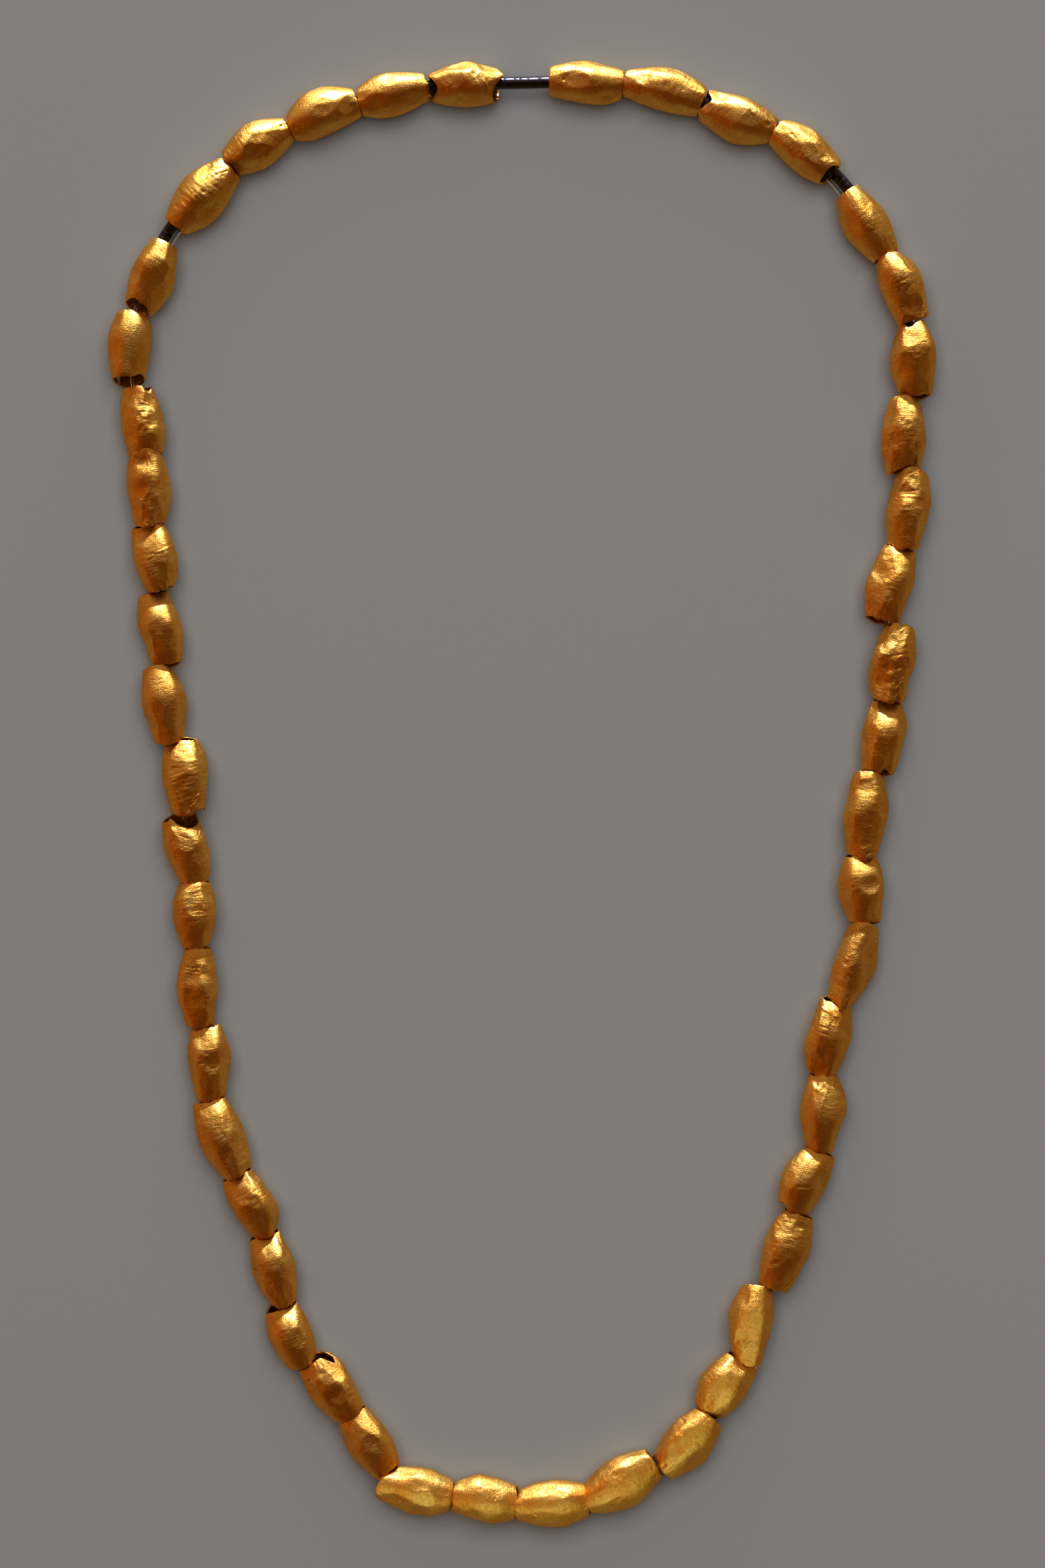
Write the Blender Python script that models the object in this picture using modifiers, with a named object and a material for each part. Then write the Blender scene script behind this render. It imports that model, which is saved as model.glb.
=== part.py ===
"""Necklace of 49 hollow sheet-gold beads, closed in a loop and lying flat.

A clear thread runs through every bead, and a bent rod lies beside it in the upper beads.
+Z is up, +Y runs along the loop's length towards the rod, and the loop is centred on the
origin. Route and bead sizes are in millimetres, and the model itself is in metres.
"""

import math
import random

import bpy
import bmesh
from mathutils import Vector

MM = 0.001

# Gold sheet, rod and thread
WALL = 0.3
ROD_DIAMETER = 1.8
THREAD_DIAMETER = 0.5
CORD_CLEARANCE = 0.25   # between rod, thread and the mouths that they pass through
MOUTH_GAP = 0.3         # least room between one bead's mouth and the next

# The loop, from the middle of its highest mouth to the middle of its lowest
LOOP_LENGTH = 213.7

# Bead form
BELLY_BAND = 1.2        # length of the level band round the belly, on which a bead lies
BELLY_HEIGHT = 6.9      # of a bead of ordinary girth, before the section's height share
HEIGHT_SHARE = 1.1      # how much taller a section is drawn than it is wide, corner to corner
BARREL = 0.5            # 0 for straight cones from mouth to belly, 1 for a round barrel
CORNER_SHIFT = 0.12     # how far a side corner strays up or down, as a share of the radius
CORNER_SEED = 49

# Beads that the rod passes through: it starts inside the first and ends inside the last
FIRST_ROD_BEAD = 44
LAST_ROD_BEAD = 5

# The beads, clockwise from the bare stretch of rod at the top, one row each:
# near mouth x, y, far mouth x, y, near and far mouth width, the belly's reach to the loop's
# outside and its place along the bead, the same to the inside, and the lean of the joint
# with the next bead, which is above 0 where the next bead's upper lip stands over this one.
# The last three are the edges of the top face, as shares of the reach outside and inside,
# and the belly's place along it. All but places and shares are lengths, for a loop as above
BEADS = (
    (3.9, 106.9, 15.0, 106.4, 4.3, 4.3, 3.4, 0.48, 3.2, 0.69, 0.2, 0.35, 0.50, 0.55),
    (15.4, 106.7, 26.7, 103.9, 4.2, 4.9, 3.8, 0.55, 2.8, 0.65, 0.0, 0.50, 0.45, 0.48),
    (27.2, 103.4, 37.7, 99.4, 4.9, 3.5, 3.2, 0.50, 3.9, 0.55, 0.2, 0.50, 0.50, 0.52),
    (37.9, 99.5, 46.9, 92.7, 4.3, 4.3, 3.6, 0.45, 3.1, 0.54, 0.0, 0.50, 0.50, 0.45),
    (48.6, 90.4, 54.5, 80.8, 4.0, 4.4, 3.3, 0.48, 3.6, 0.53, 0.5, 0.20, 0.30, 0.49),
    (54.8, 80.4, 58.7, 71.0, 4.0, 5.0, 3.7, 0.41, 3.0, 0.44, -0.3, 0.65, 0.35, 0.33),
    (58.4, 70.7, 59.1, 59.7, 4.0, 4.7, 3.4, 0.48, 3.7, 0.62, 0.4, 0.75, 0.55, 0.42),
    (57.2, 59.4, 56.9, 47.8, 4.0, 4.7, 3.5, 0.53, 3.3, 0.60, 0.6, 0.70, 0.40, 0.41),
    (58.6, 48.8, 57.1, 37.0, 4.3, 4.6, 3.3, 0.45, 3.2, 0.62, -0.6, 0.55, 0.50, 0.46),
    (56.6, 36.9, 53.9, 25.7, 4.6, 5.0, 3.3, 0.42, 3.6, 0.59, 0.4, 0.60, 0.15, 0.45),
    (56.7, 25.4, 54.9, 14.1, 4.2, 5.0, 3.1, 0.38, 3.7, 0.60, -0.5, 0.50, 0.60, 0.42),
    (54.7, 13.9, 53.3, 3.1, 4.2, 4.8, 3.5, 0.38, 3.1, 0.50, 0.3, 0.50, 0.50, 0.43),
    (51.9, 3.3, 50.9, -9.2, 4.3, 4.4, 3.5, 0.42, 3.2, 0.61, -0.5, 0.50, 0.55, 0.42),
    (50.6, -9.1, 51.4, -19.3, 4.6, 4.6, 3.3, 0.45, 3.7, 0.41, 0.3, 0.60, 0.45, 0.39),
    (51.4, -19.5, 47.8, -31.1, 4.3, 4.4, 3.5, 0.46, 2.8, 0.58, -0.6, 0.25, 0.45, 0.49),
    (47.1, -30.9, 44.9, -41.8, 4.8, 4.4, 3.3, 0.38, 3.5, 0.61, -0.7, 0.35, 0.60, 0.50),
    (45.1, -42.0, 44.7, -53.3, 4.3, 4.2, 3.8, 0.48, 3.3, 0.52, -0.3, 0.50, 0.45, 0.48),
    (44.7, -53.8, 40.5, -62.3, 4.7, 5.0, 3.1, 0.48, 3.9, 0.50, -0.2, 0.35, 0.55, 0.58),
    (41.4, -63.0, 37.4, -74.3, 4.7, 4.7, 3.6, 0.40, 3.5, 0.43, 0.3, 0.50, 0.60, 0.42),
    (35.4, -73.4, 33.8, -85.1, 4.2, 4.3, 3.0, 0.50, 3.8, 0.48, -0.7, 0.50, 0.65, 0.46),
    (33.1, -85.0, 27.6, -92.7, 5.2, 4.2, 3.4, 0.45, 3.9, 0.55, 0.4, 0.55, 0.70, 0.52),
    (28.1, -93.6, 20.8, -101.3, 4.9, 4.3, 3.9, 0.50, 3.5, 0.45, 0.0, 0.30, 0.60, 0.44),
    (19.8, -100.2, 9.9, -105.9, 4.9, 4.6, 4.2, 0.50, 3.6, 0.50, -0.7, 0.45, 0.55, 0.53),
    (9.8, -105.9, -1.0, -106.8, 4.8, 4.3, 3.8, 0.40, 3.5, 0.43, -0.6, 0.30, 0.45, 0.41),
    (-0.7, -106.3, -10.5, -105.4, 5.0, 4.3, 3.4, 0.42, 3.7, 0.53, -0.1, 0.35, 0.45, 0.52),
    (-10.6, -105.3, -21.6, -103.2, 4.4, 4.7, 4.0, 0.42, 3.4, 0.43, -0.6, 0.40, 0.30, 0.36),
    (-20.1, -101.8, -25.6, -93.0, 4.1, 4.9, 3.4, 0.55, 3.3, 0.53, 0.7, 0.50, 0.60, 0.52),
    (-25.7, -92.9, -32.1, -84.6, 4.9, 4.4, 3.4, 0.45, 3.6, 0.60, 0.6, 0.40, 0.60, 0.46),
    (-32.6, -85.9, -36.3, -76.5, 4.2, 4.9, 3.6, 0.58, 2.9, 0.53, 0.8, 0.50, 0.55, 0.53),
    (-35.6, -76.6, -38.7, -66.4, 3.5, 5.0, 3.3, 0.55, 3.2, 0.58, 0.8, 0.50, 0.65, 0.62),
    (-38.5, -65.9, -42.9, -57.1, 3.8, 4.9, 3.1, 0.60, 3.5, 0.40, 0.7, 0.30, 0.60, 0.52),
    (-42.7, -56.9, -47.1, -46.2, 4.4, 5.2, 3.7, 0.50, 3.4, 0.53, 0.3, 0.50, 0.35, 0.60),
    (-46.8, -45.7, -47.4, -34.9, 4.3, 4.6, 3.1, 0.64, 3.3, 0.58, 0.3, 0.55, 0.50, 0.63),
    (-48.5, -35.0, -48.7, -23.1, 4.0, 4.0, 3.3, 0.47, 2.9, 0.51, 0.2, 0.55, 0.65, 0.53),
    (-49.1, -23.0, -49.1, -13.2, 3.9, 4.5, 3.5, 0.57, 3.2, 0.58, 0.8, 0.55, 0.60, 0.54),
    (-49.1, -13.2, -51.6, -3.0, 4.2, 5.2, 3.4, 0.55, 3.2, 0.50, 0.5, 0.50, 0.70, 0.57),
    (-50.1, -3.1, -51.2, 8.1, 4.9, 4.7, 3.4, 0.55, 3.6, 0.60, 0.6, 0.55, 0.60, 0.57),
    (-53.0, 7.8, -55.0, 19.3, 4.4, 4.0, 3.1, 0.55, 3.7, 0.50, -0.4, 0.45, 0.60, 0.56),
    (-53.3, 19.0, -55.4, 30.3, 4.5, 4.2, 3.2, 0.60, 3.3, 0.45, 0.3, 0.50, 0.65, 0.55),
    (-54.2, 30.4, -56.3, 40.3, 4.2, 5.0, 3.1, 0.55, 3.5, 0.48, 0.6, 0.55, 0.70, 0.47),
    (-55.8, 40.3, -56.5, 50.8, 4.7, 5.1, 3.2, 0.60, 3.4, 0.53, -1.2, 0.40, 0.55, 0.63),
    (-56.5, 50.5, -57.8, 60.5, 5.1, 4.8, 3.1, 0.50, 3.5, 0.40, 0.0, 0.30, 0.65, 0.40),
    (-59.2, 61.6, -58.6, 72.9, 4.7, 3.4, 3.4, 0.57, 3.3, 0.60, 0.0, 0.50, 0.50, 0.59),
    (-57.8, 72.1, -53.6, 82.9, 4.3, 3.6, 3.2, 0.50, 3.7, 0.46, 0.0, 0.55, 0.45, 0.64),
    (-52.3, 85.0, -44.0, 93.7, 3.7, 4.6, 3.9, 0.48, 3.8, 0.45, 0.3, 0.45, 0.35, 0.50),
    (-43.8, 94.7, -35.2, 99.7, 4.4, 3.1, 3.8, 0.42, 3.3, 0.45, 0.2, 0.45, 0.25, 0.45),
    (-34.7, 99.9, -24.6, 103.7, 4.1, 4.3, 4.3, 0.50, 3.0, 0.34, 0.2, 0.50, 0.35, 0.42),
    (-24.6, 103.7, -14.2, 106.1, 4.1, 4.0, 3.5, 0.48, 3.3, 0.44, 0.0, 0.40, 0.25, 0.45),
    (-14.3, 105.9, -3.5, 106.3, 3.7, 4.8, 3.7, 0.56, 3.1, 0.60, 0.0, 0.55, 0.35, 0.55),
)

# How far a torn mouth's upper lip is cut back, by bead number, for a loop of that length
NEAR_LIP_CUT = {3: 1.2, 7: 1.2, 43: 1.0, 44: 1.8, 45: 0.4, 49: 1.2}
FAR_LIP_CUT = {4: 1.5, 8: 2.2, 10: 0.6, 28: 1.2, 29: 1.2, 36: 1.8}

# A bead's section has six corners. The top and bottom faces are level, this share of the
# half height from the axis, and the bottom one, on which the bead lies, has this half width
LEVEL = 0.866
BOTTOM_EDGE = 0.5

GOLD = ("sheet_gold", (0.80, 0.42, 0.09), 0.30, 1.0)
ROD_BLACK = ("rod_coating", (0.018, 0.012, 0.014), 0.22, 0.0)
CLEAR = ("clear_thread", (0.75, 0.75, 0.70), 0.15, 0.0)

UP = Vector((0, 0, 1))


def clear_scene():
    """Remove every object of the open file."""
    for thing in list(bpy.data.objects):
        bpy.data.objects.remove(thing, do_unlink=True)


def make_collection(name):
    """Make a collection in the scene and return it."""
    group = bpy.data.collections.new(name)
    bpy.context.scene.collection.children.link(group)
    return group


def make_material(name, colour, roughness, metallic):
    """Make a Principled material of one colour."""
    material = bpy.data.materials.new(name)
    material.use_nodes = True
    shader = material.node_tree.nodes["Principled BSDF"]
    shader.inputs["Base Color"].default_value = (*colour, 1)
    shader.inputs["Roughness"].default_value = roughness
    shader.inputs["Metallic"].default_value = metallic
    return material


def rod_reaches(number):
    """Say whether the rod is in the bead of this number."""
    return number >= FIRST_ROD_BEAD or number <= LAST_ROD_BEAD


def least_mouth(number):
    """Width that a mouth needs for what passes through it, with its walls."""
    bundle = THREAD_DIAMETER + 2 * CORD_CLEARANCE
    if rod_reaches(number):
        bundle += ROD_DIAMETER + CORD_CLEARANCE
    return (bundle + 2 * WALL) / (HEIGHT_SHARE * LEVEL)


def table_scale():
    """Share by which the table's lengths grow, for a loop of the named length."""
    heights = [row[1] for row in BEADS] + [row[3] for row in BEADS]
    return LOOP_LENGTH / (max(heights) - min(heights))


def section_corners(number, outer_edge, inner_edge):
    """Corners of one bead's section, as shares of its half width and half height."""
    chance = random.Random(CORNER_SEED + number)
    outer_side, inner_side = (chance.uniform(-CORNER_SHIFT, CORNER_SHIFT) for _ in range(2))
    return ((1, outer_side), (outer_edge, LEVEL), (-inner_edge, LEVEL),
            (-1, inner_side), (-BOTTOM_EDGE, -LEVEL), (BOTTOM_EDGE, -LEVEL))


class Bead:
    """Sizes, axis and section of one bead, in millimetres."""

    def __init__(self, number, row, scale):
        self.number = number
        near_x, near_y, far_x, far_y, near_width, far_width = (scale * size for size in row[:6])
        self.outer, self.inner, self.lean = scale * row[6], scale * row[8], scale * row[10]
        self.outer_share, self.inner_share, self.top_share = row[7], row[9], row[13]
        self.near_cut = scale * NEAR_LIP_CUT.get(number, 0)
        self.far_cut = scale * FAR_LIP_CUT.get(number, 0)
        self.half_height = HEIGHT_SHARE * (self.outer + self.inner + BELLY_HEIGHT) / 4
        self.axis_height = LEVEL * self.half_height
        self.near = Vector((near_x, near_y, self.axis_height))
        self.far = Vector((far_x, far_y, self.axis_height))
        self.length = (self.far - self.near).length
        self.along = (self.far - self.near) / self.length
        self.outward = Vector((-self.along.y, self.along.x, 0))
        self.near_half = max(near_width, least_mouth(number)) / 2
        self.far_half = max(far_width, least_mouth(number)) / 2
        self.corners = section_corners(number, row[11], row[12])

    def belly_share(self, across, height):
        """Where along the bead its belly is, on the side that a section point faces."""
        middle = (self.outer_share + self.inner_share) / 2
        side = middle + (self.outer_share - self.inner_share) / 2 * across
        return side + (self.top_share - side) * max(height, 0) / LEVEL

    def belly_weight(self, share, belly):
        """0 at the mouths and 1 at the belly's level band."""
        half_band = BELLY_BAND / 2 / self.length
        if share < belly:
            part = share / (belly - half_band)
        else:
            part = (1 - share) / (1 - belly - half_band)
        part = min(max(part, 0), 1)
        return (1 - BARREL) * part + BARREL * math.sin(math.pi / 2 * part)

    def point(self, share, across, height):
        """Point of the outer surface at a share of the length, for one section corner."""
        weight = self.belly_weight(share, self.belly_share(across, height))
        mouth = self.near_half + (self.far_half - self.near_half) * share
        reach = self.outer if across > 0 else self.inner
        half_width = mouth + (reach - mouth) * weight
        half_height = HEIGHT_SHARE * mouth
        half_height += (self.half_height - half_height) * weight
        place = self.near + self.along * (share * self.length)
        return place + self.outward * (across * half_width) + UP * (height * half_height)


class Joint:
    """Middle and dividing plane between a bead and the next one."""

    def __init__(self, bead, following):
        self.middle = (bead.far + following.near) / 2
        heading = (bead.along + following.along).normalized()
        half_height = HEIGHT_SHARE * (bead.far_half + following.near_half) / 2
        self.normal = (heading + UP * (bead.lean / half_height)).normalized()
        self.outward = Vector((-heading.y, heading.x, 0))
        room = (following.near - bead.far).dot(self.normal)
        self.half_gap = max(room, MOUTH_GAP) / 2


def mouth_share(bead, joint, side, corner, cut):
    """Share of the length at which a bead's mouth ends at one corner, on the joint's plane.

    The side is -1 for the bead before the joint and 1 for the bead after it.
    """
    across, height = corner
    start = 0 if side > 0 else 1
    rim = bead.point(start, across, height)
    plane_point = joint.middle + joint.normal * (side * joint.half_gap)
    travel = (plane_point - rim).dot(joint.normal) / bead.along.dot(joint.normal)
    cut_back = cut * (1 + height) / 2
    return start + (travel + side * cut_back) / bead.length


def bead_stations(bead, corner, near_joint, far_joint):
    """Shares of the length at which one corner line has its points, mouth to mouth."""
    near = mouth_share(bead, near_joint, 1, corner, bead.near_cut)
    far = mouth_share(bead, far_joint, -1, corner, bead.far_cut)
    belly = bead.belly_share(*corner)
    half_band = BELLY_BAND / 2 / bead.length
    before, after = belly - half_band, belly + half_band
    return near, (near + before) / 2, before, after, (after + far) / 2, far


def make_bead(bead, near_joint, far_joint, material, group):
    """Loft a bead's outer skin from mouth to mouth and thicken it inwards."""
    mesh = bmesh.new()
    lines = []
    for corner in bead.corners:
        shares = bead_stations(bead, corner, near_joint, far_joint)
        lines.append([mesh.verts.new(bead.point(share, *corner) * MM) for share in shares])
    for here, after in zip(lines, lines[1:] + lines[:1]):
        for step in range(len(here) - 1):
            mesh.faces.new((here[step], after[step], after[step + 1], here[step + 1]))
    name = f"bead_{bead.number:02d}"
    data = bpy.data.meshes.new(name)
    mesh.to_mesh(data)
    mesh.free()
    data.materials.append(material)
    thing = bpy.data.objects.new(name, data)
    group.objects.link(thing)
    sheet = thing.modifiers.new("Sheet", "SOLIDIFY")
    sheet.thickness = WALL * MM
    sheet.offset = -1
    sheet.use_even_offset = True


def half_way(points, place):
    """Point half way between a route point and the next on a smooth curve through them all."""
    before, here, after, beyond = (points[(place + step) % len(points)] for step in (-1, 0, 1, 2))
    return ((here + after) * 9 - before - beyond) / 16


def centre_route(joints):
    """Route down the middle of the string: each joint, then half way through the next bead."""
    middles = [joint.middle for joint in joints]
    route = []
    for place, middle in enumerate(middles):
        route.append(middle)
        route.append(half_way(middles, place))
    return route


def rod_turns(count):
    """How far the rod stands over the thread at each route point, in quarter turns.

    0 has the rod beside the thread, on the outside of the loop, and 1 has it above.
    """
    first = 2 * (FIRST_ROD_BEAD - 1) - 1
    last = 2 * (LAST_ROD_BEAD - 1) - 1 + count
    turns = {}
    for place in range(first, last + 1):
        from_end = min(place - first, last - place)
        turns[place % count] = min(max(from_end - 1, 0) / 2, 1)
    return turns


def cord_routes(joints):
    """Routes of the rod and of the thread, side by side where they share the beads."""
    centre = centre_route(joints)
    turns = rod_turns(len(centre))
    rod, thread = [], []
    for place, point in enumerate(centre):
        if place not in turns:
            thread.append(point)
            continue
        angle = turns[place] * math.pi / 2
        outward = joints[place // 2].outward
        aside = outward * math.cos(angle) + UP * math.sin(angle)
        rod.append((place, point + aside * ((THREAD_DIAMETER + CORD_CLEARANCE) / 2)))
        thread.append(point - aside * ((ROD_DIAMETER + CORD_CLEARANCE) / 2))
    first = 2 * (FIRST_ROD_BEAD - 1) - 1
    rod.sort(key=lambda entry: (entry[0] - first) % len(centre))
    return [point for _, point in rod], thread


def make_cord(name, points, diameter, closed, material, group):
    """Make a round cord or rod along a row of points."""
    curve = bpy.data.curves.new(name, "CURVE")
    curve.dimensions = "3D"
    curve.bevel_depth = diameter / 2 * MM
    curve.bevel_resolution = 2
    curve.use_fill_caps = not closed
    spline = curve.splines.new("POLY")
    spline.points.add(len(points) - 1)
    for knot, point in zip(spline.points, points):
        knot.co = (*(point * MM), 1)
    spline.use_cyclic_u = closed
    curve.materials.append(material)
    group.objects.link(bpy.data.objects.new(name, curve))


def build():
    """Build the whole necklace."""
    clear_scene()
    group = make_collection("bead_necklace")
    gold, black, clear = (make_material(*finish) for finish in (GOLD, ROD_BLACK, CLEAR))
    scale = table_scale()
    beads = [Bead(number, row, scale) for number, row in enumerate(BEADS, 1)]
    joints = [Joint(bead, after) for bead, after in zip(beads, beads[1:] + beads[:1])]
    for place, bead in enumerate(beads):
        make_bead(bead, joints[place - 1], joints[place], gold, group)
    rod, thread = cord_routes(joints)
    make_cord("support_rod", rod, ROD_DIAMETER, False, black, group)
    make_cord("stringing_thread", thread, THREAD_DIAMETER, True, clear, group)


build()
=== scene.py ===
"""Necklace of 49 hammered sheet-gold beads on a clear thread, with a bent rod in the upper beads.

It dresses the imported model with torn, dented and creased beads, a ringed rod and a clear
thread, and sets a pale floor, a strong low light with softer ones, and a camera that looks
straight down. Bead sizes are in millimetres, and the places of marks in the photograph's pixels.
"""

import math
import random

import bpy
import bmesh
import numpy as np
from bpy.props import FloatProperty, FloatVectorProperty, PointerProperty
from bpy.types import Operator, Panel, PropertyGroup
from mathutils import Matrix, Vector


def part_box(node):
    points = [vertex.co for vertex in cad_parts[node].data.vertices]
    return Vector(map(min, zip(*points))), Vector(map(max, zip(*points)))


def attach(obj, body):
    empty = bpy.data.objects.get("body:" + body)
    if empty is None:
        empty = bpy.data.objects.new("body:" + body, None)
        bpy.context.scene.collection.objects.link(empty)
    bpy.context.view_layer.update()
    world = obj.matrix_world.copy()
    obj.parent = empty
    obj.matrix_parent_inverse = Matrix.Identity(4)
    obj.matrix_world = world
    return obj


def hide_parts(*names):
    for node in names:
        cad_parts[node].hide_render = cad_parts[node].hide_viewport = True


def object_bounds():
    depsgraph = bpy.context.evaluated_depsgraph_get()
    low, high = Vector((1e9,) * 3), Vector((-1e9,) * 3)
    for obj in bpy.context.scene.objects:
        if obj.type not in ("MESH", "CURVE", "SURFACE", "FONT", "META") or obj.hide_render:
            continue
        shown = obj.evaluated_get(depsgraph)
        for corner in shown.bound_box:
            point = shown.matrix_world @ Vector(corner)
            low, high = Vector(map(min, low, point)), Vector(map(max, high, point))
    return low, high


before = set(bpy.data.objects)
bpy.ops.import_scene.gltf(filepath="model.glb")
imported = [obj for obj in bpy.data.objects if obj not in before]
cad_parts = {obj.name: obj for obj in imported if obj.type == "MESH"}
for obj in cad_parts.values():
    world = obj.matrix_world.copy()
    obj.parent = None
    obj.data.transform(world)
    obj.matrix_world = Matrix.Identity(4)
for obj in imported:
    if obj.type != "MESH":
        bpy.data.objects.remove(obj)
CAD_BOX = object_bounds()

bl_info = {
    "name": "Sheet-gold bead necklace",
    "version": (1, 0, 0),
    "blender": (4, 5, 0),
    "location": "3D View > Sidebar > Necklace",
    "description": "Builds the beads, rod and thread of a hammered gold necklace, and its stage",
    "category": "Object",
}

MM = 0.001

# Photograph: the pixel over the model's origin, and the model's size of one, in millimetres
PHOTO_MIDDLE_X, PHOTO_MIDDLE_Y = 784, 1191
PIXEL = 0.1
# What lies on a bead's top face stands nearer to the camera, and so looks further out
TOP_FACE_SHIFT = 0.9954

# Gold sheet, rod and thread
WALL = 0.3
ROD_DIAMETER = 1.8
THREAD_DIAMETER = 0.5
CORD_CLEARANCE = 0.25  # between rod, thread and the mouths that they pass through
OPEN_ROOM = 1.5        # least room between lips that stand apart in the photograph
LIP_GAP = 0.02         # room between the others

# Bead form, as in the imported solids, for a loop of this length between the middles of its
# highest and its lowest mouth
LOOP_LENGTH = 213.7
BELLY_BAND = 1.2       # length of the level band round the belly, on which a bead lies
BELLY_HEIGHT = 6.9     # of a bead of ordinary girth, before the section's height share
HEIGHT_SHARE = 1.1     # how much taller a section is drawn than it is wide, corner to corner
CORNER_SHIFT = 0.12    # how far a side corner strays up or down, as a share of half the height
CORNER_SEED = 49

# Beads that the rod passes through: it starts inside the first and ends inside the last
FIRST_ROD_BEAD = 44
LAST_ROD_BEAD = 5

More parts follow.
